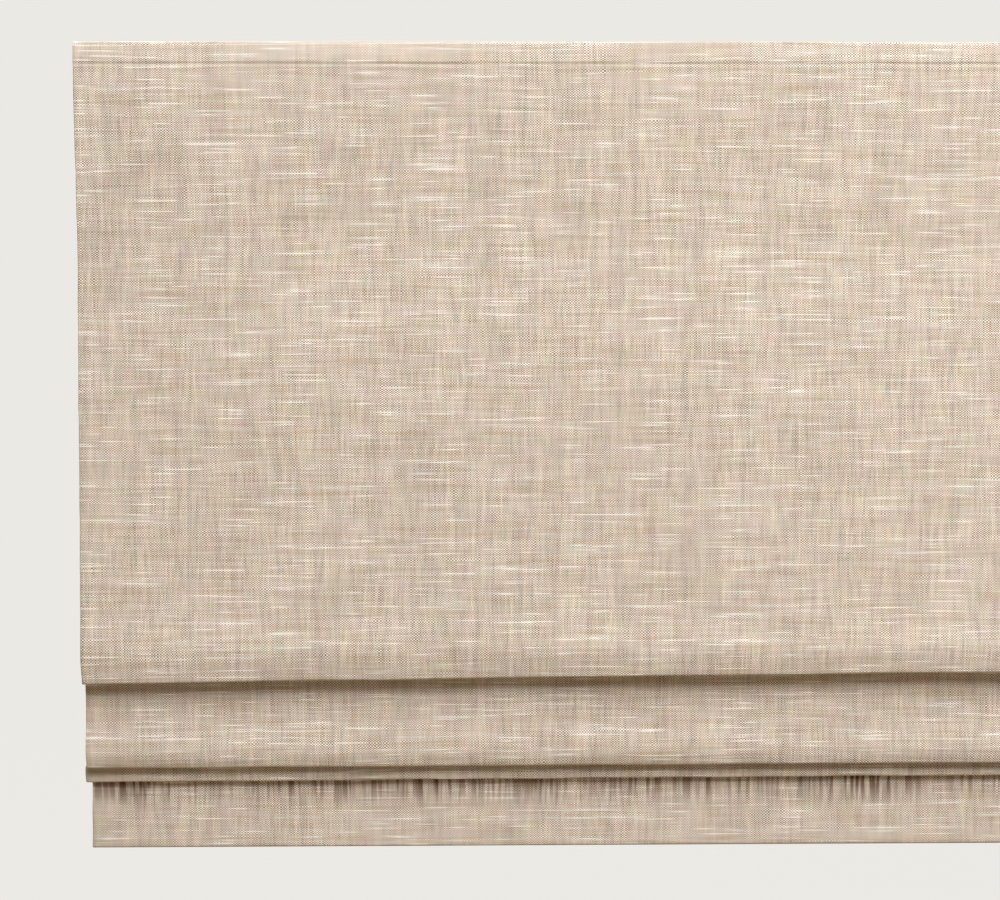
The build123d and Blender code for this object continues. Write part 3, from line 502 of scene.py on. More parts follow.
ease, bend, strip = cloth["ease"], cloth["bend"], cloth["strip"]
fold1 = turned(cloth["fold1"], bandFront + cloth["fold1"]["back"])
fold2 = turned(cloth["fold2"], bandFront + cloth["fold2"]["back"])
fold3 = turned(cloth["fold3"], ply("3b", 2)[0])
bodyRoute = (
    [(bandFront, cloth["railLow"] - cloth["bandBelowRail"], ease)]
    + [(panelY, level, ease) for level in cloth["panelLevels"]]
    + fold1 + [(*ply("1b", 0), bend)] + gather(1, 2)
    + [(*ply("2f", 0), bend), (*ply("2f", 1), ease)] + fold2
    + [(*ply("2b", 1), ease), (*ply("2b", 0), bend)] + gather(2, 1)
    + [(*ply("3f", 0), bend), (*ply("3f", 1), ease), (ply("3f", 2)[0], fold2Low - strip["start"], bend)]
    + [(fold3[0][0], fold2Low - strip["stop"], strip["bend"])] + fold3
    + [(*ply("3b", 2), ease), (*ply("3b", 1), ease), (*ply("3b", 0), bend)] + gather(3, 0)
    + [(*corner, radius) for *corner, radius in zip(stackBack, stackLevels, (bend, ease, ease))]
    + [(skirtY, fold3Low - cloth["skirtStart"], ease)]
)
topRadius = cloth["roundShare"] * (cloth["turnedHem"] - bandFront)
pocketY = skirtY + cloth["hemPocket"]
faceRoute = (
    [(cloth["turnedHem"], cloth["tapeLow"], 0), (cloth["turnedHem"], clothTop, topRadius)]
    + [(bandFront, clothTop, topRadius)] + bodyRoute
    + [(skirtY, hemBottom, cloth["hemTurn"]), (pocketY, hemBottom, cloth["hemTurn"])]
    + [(pocketY, hemBottom + cloth["hemHeight"], 0)]
)
liningRoute = [(bandFront, clothTop - topRadius, 0)] + bodyRoute + [(skirtY, liningLow.z, 0)]

# How the hung cloth departs from its true line, all in mm. Waves are lengths, a place is a centre and a
# width, and levels are depths below the window head between which a change grows or fades.
drape = {
    "folds": (
        {"tilt": 4.35, "rise": 0.3, "dip": 0.0, "wave": 0.35, "waves": (310, 190), "reach": 46.0},
        {"tilt": 0.9, "rise": 0.0, "dip": 0.0, "wave": 0.3, "waves": (260, 150), "reach": 50.0},
        {"tilt": 1.4, "rise": 0.0, "dip": 0.5, "wave": 0.35, "waves": (210, 90), "reach": 26.0},
    ),
    "foldCore": 14.0,          # along the cloth, where a fold moves as a whole
    "dipPlace": (-300, 130),
    "forward": 0.2,            # how far the first fold comes forward where it sinks by 1
    "bulges": (
        {"depth": 2.4, "above": 27, "width": 18, "uneven": 0.15, "waves": (330, 170)},
        {"depth": 2.2, "above": 16, "width": 20, "uneven": 0.2, "waves": (280, 140)},
    ),
    "bulgeRun": (2.0, 14.0, 80.0),     # along the cloth before a fold: none, full and ended
    "panelWave": 0.45, "panelWaves": (420, 230, 150), "panelSkew": 0.25,
    "panelShare": 0.4, "panelDepth": 1.5,      # the panel is this share of the cloth, and this near its plane
    "panelLevels": (60, 130), "footLevels": (520, 590), "ribCalm": 28,
    "lean": 1.1, "leanBelowRib": (8, 85), "leanLevels": (500, 575),
    "band": -60, "bandDepth": 1,
    "crease": 1.0, "creaseLevel": -23.0, "creaseWaves": (240, 130, 70),
    "creaseMean": 0.65, "creaseSwing": 0.35, "creaseFaint": 0.3, "faintPlace": (0, 60),
    "creaseRise": (-0.6, 0.8), "creaseFall": (1.0, 15.0), "echo": 0.55, "echoPlace": (-4.2, 2.2),
    "topSag": 2.4, "topSagWidth": 190, "topRise": 1.5, "topRisePlace": (190, 170),
    "topDrop": 1.0, "topDropWidth": 120, "topHeights": (-24, -5),
    "pucker": 0.6, "puckerBase": 0.45, "puckerSpots": ((-392, 26), (-272, 60), (8, 58)),
    "puckerLow": -764.0, "puckerHigh": 2, "puckerEnd": 12, "puckerDepth": 3, "puckerWaves": (19, 25, 34, 47),
    # below the band, at the folds and at the skirt
    "narrow": (1.0, 1.8, 3.2), "narrowLevels": ((40, 220), (560, 610), (700, 726)),
    "wobble": 0.3, "wobbleWaves": (170, 96, 61), "wobbleSkew": 3, "wobbleFrom": 0.8, "wobbleLevels": (30, 80),
    "slideOut": 4.2, "slideFrom": 0.5,
    "seed": 11,
}
# How far apart the rows lie along the cloth, in mm, closer where it bends, puckers or shows a crease
rowStep = {
    "skirt": 5.0, "crease": 1.1, "creaseReach": 8.0, "fold1": 4.5, "fold1Above": 45, "fold2": 5.0,
    "fold2High": -650.0, "plain": 14.0, "least": 0.02, "lastShare": 0.4, "arcAngle": 26, "arcLength": 8,
}


def stepAt(y, z):
    if z < fold3Low:
        return rowStep["skirt"]
    if abs(z - drape["creaseLevel"]) < rowStep["creaseReach"] and y < bandFront + drape["bandDepth"]:
        return rowStep["crease"]
    if z < fold1Low + rowStep["fold1Above"] and y < bandFront + cloth["fold1"]["back"]:
        return rowStep["fold1"]
    if fold2Low < z < rowStep["fold2High"] and y < bandFront + cloth["fold2"]["back"]:
        return rowStep["fold2"]
    return rowStep["plain"]


def rowsOf(places, sides):
    # rows along a line: place, direction to the lining side and length so far
    steps = np.linalg.norm(np.diff(places, axis=0), axis=1)
    return {"place": places, "side": sides, "length": np.concatenate([[0.0], np.cumsum(steps)])}


def traceRoute(corners):
    # rows along a line whose corners are rounded
    places, ways = [], []

    def addRow(place, way):
        if not places or math.dist(places[-1], place) > rowStep["least"]:
            places.append(tuple(place))
            ways.append(way)

    def addRun(start, stop, way):
        done, whole = 0.0, math.dist(start, stop)
        addRow(start, way)
        while whole - done > 1e-6:
            spot = [a + (b - a) * done / whole for a, b in zip(start, stop)]
            done = min(whole, done + stepAt(*spot))
            if whole - done < rowStep["lastShare"] * stepAt(*spot):
                done = whole
            addRow([a + (b - a) * done / whole for a, b in zip(start, stop)], way)

    here = corners[0][:2]
    for before, corner, after in zip(corners, corners[1:], corners[2:]):
        wayIn = math.atan2(corner[1] - before[1], corner[0] - before[0])
        wayOut = math.atan2(after[1] - corner[1], after[0] - corner[0])
        turn = math.remainder(wayOut - wayIn, 2 * math.pi)
        reach = corner[2] * math.tan(abs(turn) / 2)
        start = (corner[0] - reach * math.cos(wayIn), corner[1] - reach * math.sin(wayIn))
        addRun(here, start, wayIn)
        side = math.copysign(corner[2], turn)
        centre = (start[0] - side * math.sin(wayIn), start[1] + side * math.cos(wayIn))
        count = max(1, math.ceil(abs(turn) / math.radians(rowStep["arcAngle"])),
                    math.ceil(abs(turn) * corner[2] / rowStep["arcLength"]))
        for k in range(1, count + 1):
            way = wayIn + turn * k / count
            addRow((centre[0] + side * math.sin(way), centre[1] - side * math.cos(way)), way)
        here = places[-1]
    last = corners[-1][:2]
    addRun(here, last, math.atan2(last[1] - here[1], last[0] - here[0]))
    ways = np.array(ways)
    return rowsOf(np.array(places), np.stack([-np.sin(ways), np.cos(ways)], 1))


def ripple(values, lengths, seed):
    # an uneven wave between about -1 and 1
    phases = np.random.default_rng(seed).uniform(0, 2 * math.pi, len(lengths))
    waves = [np.sin(2 * math.pi * values / size + phase) for size, phase in zip(lengths, phases)]
    return sum(waves) / len(waves)


def smooth(values, start, stop):
    share = np.clip((values - start) / (stop - start), 0, 1)
    return share * share * (3 - 2 * share)


def hill(values, centre, width):
    return np.exp(-((values - centre) / width) ** 2)


def hang(rows, x):
    # shift of each point at x on each row, the same through all the cloth's layers
    y, z = rows["place"][:, :1], rows["place"][:, 1:]
    length = rows["length"][:, None]
    seed = drape["seed"]
    share = x / halfWidth
    apart, near, tilts = [], [], []
    for number, (bottom, fold) in enumerate(zip((fold1, fold2, fold3), drape["folds"])):
        middle = (bottom[0][0] + bottom[1][0]) / 2
        nearest = np.argmin(np.hypot(rows["place"][:, 0] - middle, rows["place"][:, 1] - bottom[0][1]))
        apart.append(length - rows["length"][nearest])
        near.append(1 - smooth(np.abs(apart[-1]), drape["foldCore"], fold["reach"]))
        wave = ripple(x, fold["waves"], seed + number)
        tilts.append(fold["tilt"] * share + fold["rise"] * (1 - 3 * share ** 2)
                     - fold["dip"] * hill(x, *drape["dipPlace"]) + fold["wave"] * wave)
    dz = sum(strength * tilt for strength, tilt in zip(near, tilts))
    dy = -drape["forward"] * near[0] * np.maximum(tilts[0], 0)
    none, full, ended = drape["bulgeRun"]
    for number, (bulge, far, low) in enumerate(zip(drape["bulges"], apart, (fold1Low, fold2Low))):
        front = smooth(-far, none, full) * (far < 0) * (far > -ended)
        swell = hill(z, low + bulge["above"], bulge["width"])
        wave = ripple(x, bulge["waves"], seed + 3 + number)
        dy = dy - front * bulge["depth"] * swell * (1 + bulge["uneven"] * wave)
    # the flat panel: low waves, and the cloth below the hanging rib leans back a little
    panel = (length < rows["length"][-1] * drape["panelShare"]) * (y < panelY + drape["panelDepth"])
    rib = cloth["ribs"][0]
    calm = smooth(-z, *drape["panelLevels"]) * (1 - hill(z, rib, drape["ribCalm"]))
    calm = calm * (1 - smooth(-z, *drape["footLevels"]))
    wave = ripple(x + drape["panelSkew"] * z, drape["panelWaves"], seed + 5)
    dy = dy + panel * calm * drape["panelWave"] * wave
    start, full = (-rib + below for below in drape["leanBelowRib"])
    lean = smooth(-z, start, full) * (1 - smooth(-z, *drape["leanLevels"]))
    dy = dy + panel * lean * drape["lean"]
    # crease under the tape's lower edge, and the top edge, which isn't quite straight
    band = (z > drape["band"]) * (y < bandFront + drape["bandDepth"])
    strength = drape["creaseMean"] + drape["creaseSwing"] * ripple(x, drape["creaseWaves"], seed + 6)
    strength = strength - drape["creaseFaint"] * hill(x, *drape["faintPlace"])
    above = z - drape["creaseLevel"]
    ridge = smooth(above, *drape["creaseRise"]) * (1 - smooth(above, *drape["creaseFall"]))
    ridge = ridge + drape["echo"] * hill(above, *drape["echoPlace"])
    dy = dy - band * drape["crease"] * strength * ridge
    topTilt = (-drape["topSag"] * hill(x, -halfWidth, drape["topSagWidth"])
               + drape["topRise"] * hill(x, *drape["topRisePlace"])
               - drape["topDrop"] * hill(x, halfWidth, drape["topDropWidth"]))
    dz = dz + smooth(z, *drape["topHeights"]) * topTilt
    # puckers in the skirt under the last fold
    spots = sum(hill(x, centre, width) for centre, width in drape["puckerSpots"])
    gathered = smooth(z, drape["puckerLow"], fold3Low - drape["puckerHigh"])
    gathered = gathered * (y > skirtY - drape["puckerDepth"]) * (z < fold3Low + drape["puckerEnd"])
    wave = ripple(x, drape["puckerWaves"], seed + 7)
    dy = dy + gathered * drape["pucker"] * (drape["puckerBase"] + spots) * wave
    # the cloth is a little narrower where it has drawn in
    belowBand, atFolds, atSkirt = (smooth(-z, *levels) for levels in drape["narrowLevels"])
    first, second, third = drape["narrow"]
    narrow = first * belowBand + (second - first) * atFolds + (third - second) * atSkirt * (y > 0)
    wobble = drape["wobble"] * ripple(z + drape["wobbleSkew"] * length, drape["wobbleWaves"], seed + 8)
    wobble = wobble * smooth(np.abs(share), drape["wobbleFrom"], 1.0)
    dx = -share * narrow - np.sign(share) * wobble * smooth(-z, *drape["wobbleLevels"])
    # the third fold has slid out a little at the left
    dx = dx - near[2] * drape["slideOut"] * smooth(-share, drape["slideFrom"], 1.0)
    return dx, dy, dz


def noShift(rows, x):
    return 0.0, 0.0, 0.0


def addObject(name, data):
    made = bpy.data.objects.new(name, data)
    bpy.context.scene.collection.objects.link(made)
    return made


def printTriangles(piece):
    print(piece.name, "has", sum(len(face.vertices) - 2 for face in piece.data.polygons), "triangles")


mergeDistance = 2e-7    # metres between points that fall together


def sheetMesh(name, rows, x, depth, across, caps, shift, material, sharpAngle=50.0):
    # a closed skin: each row is a ring of points given by x and depth from the route, and across is where
    # each point lies on the flat sheet
    rowCount, ringCount = x.shape
    y = rows["place"][:, :1] + depth * rows["side"][:, :1]
    z = rows["place"][:, 1:] + depth * rows["side"][:, 1:]
    dx, dy, dz = shift(rows, x)
    points = np.stack([x + dx, y + dy, z + dz], 2).reshape(-1, 3) * mm
    faces = []
    for i in range(rowCount - 1):
        for j in range(ringCount):
            k = (j + 1) % ringCount
            here, below = i * ringCount, (i + 1) * ringCount
            faces.append((here + j, below + j, below + k, here + k))
    for start in (0, (rowCount - 1) * ringCount):
        faces += [tuple(start + j for j in cap) for cap in caps]
    mesh = bpy.data.meshes.new(name)
    mesh.from_pydata(points.tolist(), [], faces)
    flat = np.stack([across, np.repeat(rows["length"][:, None], ringCount, 1)], 2).reshape(-1, 2) * mm
    loops = np.zeros(len(mesh.loops), np.int32)
    mesh.loops.foreach_get("vertex_index", loops)
    uvLayer = mesh.uv_layers.new(name="UVMap")
    uvLayer.data.foreach_set("uv", flat[loops].ravel())
    tidy = bmesh.new()
    tidy.from_mesh(mesh)
    bmesh.ops.remove_doubles(tidy, verts=tidy.verts, dist=mergeDistance)
    bmesh.ops.recalc_face_normals(tidy, faces=tidy.faces)
    tidy.to_mesh(mesh)
    tidy.free()
    mesh.shade_smooth()
    mesh.set_sharp_from_angle(angle=math.radians(sharpAngle))
    mesh.materials.append(material)
    piece = addObject(name, mesh)
    printTriangles(piece)
    return piece


def plainRing(rows, left, right, count, near, far):
    # a slab's ring, and the faces that close its two ends
    line = np.linspace(left, right, count)
    x = np.concatenate([line, line[::-1]])
    depth = np.concatenate([np.full(count, near), np.full(count, far)])
    caps = [(j, j + 1, 2 * count - 2 - j, 2 * count - 1 - j) for j in range(count - 1)]
    rowCount = len(rows["length"])
    return np.tile(x, (rowCount, 1)), np.tile(depth, (rowCount, 1)), np.tile(x, (rowCount, 1)), caps


def hemmedRing(rows):
    # the face cloth's ring: front, side fold, side hem, and the cloth's own back
    count, thickness = cloth["columns"], cloth["thickness"]
    outer = sheetThickness / 2
    edge = halfWidth - outer
    hemColumns = cloth["hemColumns"]
    hemRun = np.linspace(0, edge - (halfWidth - cloth["sideHem"]), hemColumns)
    turn = np.radians([-45, 0, 45])
    line = np.linspace(-edge, edge, count)
    hemFlat = edge + math.pi * outer + hemRun
    # right side of the ring, after the front, as (x, depth, flat) with the hem and without it
    side = [(edge + outer * math.cos(a), outer + outer * math.sin(a), edge + outer * (a + math.pi / 2))
            for a in turn]
    side += [(edge - run, sheetThickness, flat) for run, flat in zip(hemRun, hemFlat)]
    hemDepth = thickness + cloth["plyGap"]
    side += [(edge - run, hemDepth, flat) for run, flat in zip(hemRun[::-1], hemFlat[::-1])]
    side += [(edge + cloth["foldSlack"], outer, edge + outer * math.pi / 2)]
    bare = [(edge + outer * math.cos(a), thickness / 2 * (1 + math.sin(a)), edge + outer * math.cos(a))
            for a in turn]
    bare += [(edge, thickness, edge)] * (2 * hemColumns + 1)
    rings = {}
    for key, right in (("hem", np.array(side)), ("bare", np.array(bare))):
        left = right[::-1] * np.array([-1, 1, -1])
        front = np.stack([line, np.zeros(count), line], 1)
        back = np.stack([line[::-1], np.full(count, thickness), line[::-1]], 1)
        rings[key] = np.concatenate([front, right, back, left])
    sideCount = len(side)
    backStart = count + sideCount
    caps = [(j, j + 1, backStart + count - 2 - j, backStart + count - 1 - j) for j in range(count - 1)]
    caps += [(count - 1, count, count + 1, count + 2, backStart)]
    last = backStart + count + sideCount
    caps += [(backStart + count - 1, last - 3, last - 2, last - 1, 0)]
    places, lengths = rows["place"], rows["length"]
    hemEnds = ((bandFront, cloth["tapeLow"]), (skirtY, hemBottom + cloth["hemTurn"] + thickness))
    hemStart, hemStop = (lengths[np.argmin(np.hypot(places[:, 0] - y, places[:, 1] - z))] for y, z in hemEnds)
    hemmed = (lengths >= hemStart) & (lengths <= hemStop)
    whole = np.where(hemmed[:, None, None], rings["hem"], rings["bare"])
    return whole[:, :, 0], whole[:, :, 1], whole[:, :, 2], caps


faceRows = traceRoute(faceRoute)
faceX, faceDepth, faceFlat, faceCaps = hemmedRing(faceRows)
faceCloth = sheetMesh("faceCloth", faceRows, faceX, faceDepth, faceFlat, faceCaps, hang, linenCloth)
liningRows = traceRoute(liningRoute)
liningEdge = liningHigh.x
liningNear = cloth["thickness"] + cloth["plyGap"]
liningRing = plainRing(liningRows, -liningEdge, liningEdge, cloth["liningColumns"], liningNear,
                       liningNear + cloth["liningThickness"])
liningSheet = sheetMesh("liningSheet", liningRows, *liningRing, hang, liningCloth)

# Headrail cover: the same linen glued round the rail's front
coverLow, coverHigh = boxOf("headrail_cover")
cover = {"thickness": 0.6, "under": 9.0, "lip": 4.8, "bend": 2.15, "columns": 90}
railLow = boxOf("headrail_channel")[0]
coverRoute = [
    (railLow.y + cover["lip"], coverHigh.z, 0), (coverLow.y, coverHigh.z, cover["bend"]),
    (coverLow.y, coverLow.z, cover["bend"]), (railLow.y + cover["under"], coverLow.z, 0),
]
coverRows = traceRoute(coverRoute)
coverRing = plainRing(coverRows, coverLow.x, coverHigh.x, cover["columns"], 0.0, cover["thickness"])
railCover = sheetMesh("railCover", coverRows, *coverRing, noShift, linenCloth)

# Rib sleeves: twill tape folded round each rod, its two ends sewn to the cloth as one tab
sleeve = {
    "thickness": 0.5, "radius": 2.65, "tab": 7.0, "outerBend": 3.5, "innerBend": 3.0, "join": -138.0,
    "arcStep": 18.0, "columns": 70,
}
ribNames = [f"rib_rod_{number}" for number in range(4)]
sleeves = []
for number, rib in enumerate(ribNames):
    sleeveLow, sleeveHigh = boxOf(f"rib_sleeve_{number}")
    radius, inside = sleeve["radius"], -sleeve["radius"] + sleeve["thickness"]
    around = [math.radians(180.0 - sleeve["arcStep"] * k) for k in range(1, 18)]
    line = [(-radius, -sleeve["tab"]), (-radius, -sleeve["outerBend"]), (-radius, 0.0)]
    line += [(radius * math.cos(a), radius * math.sin(a)) for a in around if a > math.radians(sleeve["join"])]
    line += [(inside, -sleeve["innerBend"]), (inside, -sleeve["tab"])]
    line = np.array(line) + np.array(centreOf(rib)[1:])
    ways = np.gradient(line, axis=0)
    ways /= np.linalg.norm(ways, axis=1)[:, None]
    rows = rowsOf(line, np.stack([-ways[:, 1], ways[:, 0]], 1))
    half = sleeve["thickness"] / 2
    ring = plainRing(rows, sleeveLow.x, sleeveHigh.x, sleeve["columns"], -half, half)
    piece = sheetMesh(f"ribSleeve{number}", rows, *ring, noShift, twillTape)
    sleeves.append((piece, rows["length"][-1], sleeveHigh.x - sleeveLow.x))
print("sheets made")


def pathMesh(name, lines):
    # polylines as loose edges, for a tree to follow
    points, edges = [], []
    for line in lines:
        start = len(points)
        points += [tuple(c * mm for c in point) for point in line]
        edges += [(k, k + 1) for k in range(start, len(points) - 1)]
    mesh = bpy.data.meshes.new(name)
    mesh.from_pydata(points, edges, [])
    return addObject(name, mesh)


def newTree(name, inputs):
    tree = bpy.data.node_groups.new(name, "GeometryNodeTree")
    tree.interface.new_socket("Path", in_out="INPUT", socket_type="NodeSocketGeometry")
    tree.interface.new_socket("Result", in_out="OUTPUT", socket_type="NodeSocketGeometry")
    for label, kind in inputs:
        tree.interface.new_socket(label, in_out="INPUT", socket_type=kind)
    entry = tree.nodes.new("NodeGroupInput")
    result = tree.nodes.new("NodeGroupOutput")
    return tree, entry, result


def dressResult(tree, made, entry, result):
    whole = addNode(tree, "GeometryNodeRealizeInstances", {"Geometry": made})
    links = {"Geometry": whole, "Material": entry.outputs["Material"]}
    dressed = addNode(tree, "GeometryNodeSetMaterial", links)
    tree.links.new(dressed.outputs[0], result.inputs["Result"])


def runTree(piece, tree, values):
    # sets the tree's inputs by identifier, then keeps the result as a plain mesh
    modifier = piece.modifiers.new("tree", "NODES")
    modifier.node_group = tree
    for item in tree.interface.items_tree:
        if item.in_out == "INPUT" and item.name in values:
            modifier[item.identifier] = values[item.name]
    depsgraph = bpy.context.evaluated_depsgraph_get()
    made = bpy.data.meshes.new_from_object(piece.evaluated_get(depsgraph))
    piece.modifiers.remove(modifier)
    piece.data = made
    made.shade_smooth()
    if not made.materials:
        made.materials.append(values["Material"])
    printTriangles(piece)
    return piece


# A tree that sweeps a round cord along each path and keeps where each point lies along and round it
cordTree, entry, result = newTree("cordAlongPath", [
    ("Radius", "NodeSocketFloat"), ("Sides", "NodeSocketInt"), ("Material", "NodeSocketMaterial")])
curve = addNode(cordTree, "GeometryNodeMeshToCurve", {"Mesh": entry.outputs["Path"]})
alongPath = addNode(cordTree, "GeometryNodeSplineParameter")
marked = addNode(cordTree, "GeometryNodeStoreNamedAttribute", {
    "Geometry": curve, "Name": "along", "Value": alongPath.outputs["Length"]},
    data_type="FLOAT", domain="POINT")
profile = addNode(cordTree, "GeometryNodeCurvePrimitiveCircle", {
    "Resolution": entry.outputs["Sides"], "Radius": entry.outputs["Radius"]})
position = addNode(cordTree, "GeometryNodeInputPosition")
markedProfile = addNode(cordTree, "GeometryNodeStoreNamedAttribute", {
    "Geometry": profile, "Name": "ring", "Value": position}, data_type="FLOAT_VECTOR", domain="POINT")
tube = addNode(cordTree, "GeometryNodeCurveToMesh", {
    "Curve": marked, "Profile Curve": markedProfile, "Fill Caps": True})
dressResult(cordTree, tube, entry, result)

# A tree that lays stitches end to end along each path, each a bead of diameter 1 scaled to the stitch
crooked = 0.09      # how far a stitch strays from its slant, in radians
stitchTree, entry, result = newTree("stitchesAlongPath", [
    ("Pitch", "NodeSocketFloat"), ("Stitch", "NodeSocketVector"), ("Slant", "NodeSocketFloat"),
    ("Seed", "NodeSocketInt"), ("Material", "NodeSocketMaterial")])
curve = addNode(stitchTree, "GeometryNodeMeshToCurve", {"Mesh": entry.outputs["Path"]})
spaced = addNode(stitchTree, "GeometryNodeResampleCurve", {
    "Curve": curve, "Length": entry.outputs["Pitch"]}, mode="LENGTH")
tangent = addNode(stitchTree, "GeometryNodeInputTangent")
aligned = addNode(stitchTree, "FunctionNodeAlignRotationToVector", {"Vector": tangent}, axis="X")
uneven = addNode(stitchTree, "FunctionNodeRandomValue", {
    "Seed": entry.outputs["Seed"], 2: -crooked, 3: crooked}, data_type="FLOAT")
slanted = calculate(stitchTree, "ADD", uneven.outputs[1], entry.outputs["Slant"])
leaning = addNode(stitchTree, "ShaderNodeCombineXYZ", {1: slanted})
turnedStitch = addNode(stitchTree, "FunctionNodeRotateRotation", {
    "Rotation": aligned, "Rotate By": leaning}, rotation_space="LOCAL")
bead = addNode(stitchTree, "GeometryNodeMeshUVSphere", {"Segments": 6, "Rings": 4, "Radius": 0.5})
placed = addNode(stitchTree, "GeometryNodeInstanceOnPoints", {
    "Points": spaced, "Instance": bead, "Rotation": turnedStitch, "Scale": entry.outputs["Stitch"]})
dressResult(stitchTree, placed, entry, result)

# Lift cords: one from each spool, down behind the panel, back to the gathered ribs and into its stop
cord = {
    "radius": 0.7, "sides": 10, "bend": 30.0, "wrap": 160.0, "wrapSteps": 24, "wrapRadius": 10.15,
    "turns": 13, "stepsPerTurn": 28,
}
shaftY, shaftZ = centreOf("spool_middle")[1:]
cordTopY = shaftY - cord["wrapRadius"]
cordLowY = centreOf("cord_stops")[1]
cordEnd = boxOf("lift_cord_middle")[0].z
firstGathered = centreOf("rib_rod_1")[2]


def corded(name, line):
    return runTree(pathMesh(name, [line]), cordTree, {
        "Radius": cord["radius"] * mm, "Sides": cord["sides"], "Material": cordBraid})


liftCords, windings = [], []
for side in ("left", "middle", "right"):
    x = centreOf(f"lift_cord_{side}")[0]
    around = cord["wrapRadius"]
    turns = [math.radians(180 - cord["wrap"] * (1 - k / cord["wrapSteps"])) for k in range(cord["wrapSteps"])]
    line = [(x, shaftY + around * math.cos(a), shaftZ + around * math.sin(a)) for a in turns]
    hanging = traceRoute([(cordTopY, shaftZ, 0), (cordTopY, cloth["ribs"][0], cord["bend"]),
                          (cordLowY, firstGathered, cord["bend"]), (cordLowY, cordEnd, 0)])
    line += [(x, y, z) for y, z in hanging["place"]]
    liftCords.append((corded(f"liftCord{side.title()}", line), side))
    # the turns wound on the spool, side by side
    windLow, windHigh = boxOf(f"cord_winding_{side}")
    steps = cord["turns"] * cord["stepsPerTurn"]
    pitch = (windHigh.x - windLow.x - 2 * cord["radius"]) / cord["turns"]
    coil = []
    for k in range(steps + 1):
        angle = 2 * math.pi * k * cord["turns"] / steps
        along = windLow.x + cord["radius"] + pitch * k * cord["turns"] / steps
        coil.append((along, shaftY + around * math.cos(angle), shaftZ - around * math.sin(angle)))
    windings.append((corded(f"cordTurns{side.title()}", coil), side))
print("cords made")

# Stitches: along the side hems, the bottom hem's top edge and each rib sleeve's tab
stitch = {
    "pitch": 3.0, "hemPitch": 7.0, "length": 2.2, "width": 0.45, "inset": 2.0, "slant": 0.5, "belowTape": 6.0,
    "lift": 0.1, "sideLift": 0.12,      # of the thread's middle over the cloth it lies on
    "hemEnd": 12, "hemStep": 8, "tabEnd": 3, "tabSteps": 8,
}


def sewn(name, lines, pitch, slant, seed):
    return runTree(pathMesh(name, lines), stitchTree, {
        "Pitch": pitch * mm, "Stitch": (stitch["length"] * mm, stitch["width"] * mm, stitch["width"] * mm),
        "Slant": slant, "Seed": seed, "Material": sewingThread})


backOfSheet = sheetThickness + stitch["sideLift"]
hemLines = []
for sign in (-1, 1):
    x = np.full((len(liningRows["length"]), 1), sign * (halfWidth - cloth["sideHem"] + stitch["inset"]))
    dx, dy, dz = hang(liningRows, x)
    y, z = np.hsplit(liningRows["place"] + backOfSheet * liningRows["side"], 2)
    line = np.hstack([x + dx, y + dy, z + dz])
    hemLines.append(line[liningRows["place"][:, 1] < cloth["tapeLow"] - stitch["belowTape"]])
sideStitches = sewn("sideHemStitches", hemLines, stitch["hemPitch"], stitch["slant"], 3)
hemTop = hemBottom + cloth["hemHeight"] - stitch["inset"]
hemBack = pocketY + stitch["lift"]
hemSteps = int((2 * halfWidth - 2 * stitch["hemEnd"]) / stitch["hemStep"])
bottomLine = [(-halfWidth + stitch["hemEnd"] + stitch["hemStep"] * k, hemBack, hemTop)
              for k in range(hemSteps + 1)]
bottomStitches = sewn("bottomHemStitches", [bottomLine], stitch["pitch"], 0.0, 4)
sleeveStitches = []
for number, rib in enumerate(ribNames):
    low, high = boxOf(f"rib_sleeve_{number}")
    rodY, rodZ = centreOf(rib)[1:]
    tabBack = rodY - sleeve["radius"] + 1.5 * sleeve["thickness"] + stitch["lift"]
    level = rodZ - sleeve["tab"] + stitch["inset"]
    end, steps = stitch["tabEnd"], stitch["tabSteps"]
    line = [(low.x + end + (high.x - low.x - 2 * end) * k / steps, tabBack, level) for k in range(steps + 1)]
    sleeveStitches.append(sewn(f"sleeveStitches{number}", [line], stitch["pitch"], 0.0, 5 + number))
print("stitches made")

# What each piece rides on and which CAD node it stands for
for piece in (faceCloth, liningSheet, sideStitches):
    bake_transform(piece)
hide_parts("face_fabric")
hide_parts("lining")
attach(bottomStitches, "stack")
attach(railCover, "root")
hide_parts("headrail_cover")
for number, (piece, width, length) in enumerate(sleeves):
    body = "root" if number == 0 else "stack"
    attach(piece, body)
    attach(sleeveStitches[number], body)
    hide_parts(f"rib_sleeve_{number}")
for piece, side in liftCords:
    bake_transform(piece)
    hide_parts(f"lift_cord_{side}")
for piece, side in windings:
    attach(piece, "shaft")
    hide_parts(f"cord_winding_{side}")

# Camera, solved from the blind's own edges in the photograph, for a picture of 1000 x 900
view = {
    "place": (-0.0642, -1.3774, -0.3735), "yaw": 0.6, "pitch": 0.85, "roll": -0.12,
    "focalPixels": 1405.6, "pictureWidth": 1000, "sensor": 36.0,
}
yaw, pitch, roll = (math.radians(view[key]) for key in ("yaw", "pitch", "roll"))
forward = Vector((math.sin(yaw) * math.cos(pitch), math.cos(yaw) * math.cos(pitch), -math.sin(pitch)))
level = Vector((math.cos(yaw), -math.sin(yaw), 0))
upright = level.cross(forward)
right = math.cos(roll) * level + math.sin(roll) * upright
up = -math.sin(roll) * level + math.cos(roll) * upright
lens = bpy.data.cameras.new("camera")
lens.sensor_width = view["sensor"]
lens.lens = view["focalPixels"] * view["sensor"] / view["pictureWidth"]
camera = addObject("camera", lens)
camera.matrix_world = Matrix.Translation(view["place"]) @ Matrix((right, up, -forward)).transposed().to_4x4()
bpy.context.scene.camera = camera

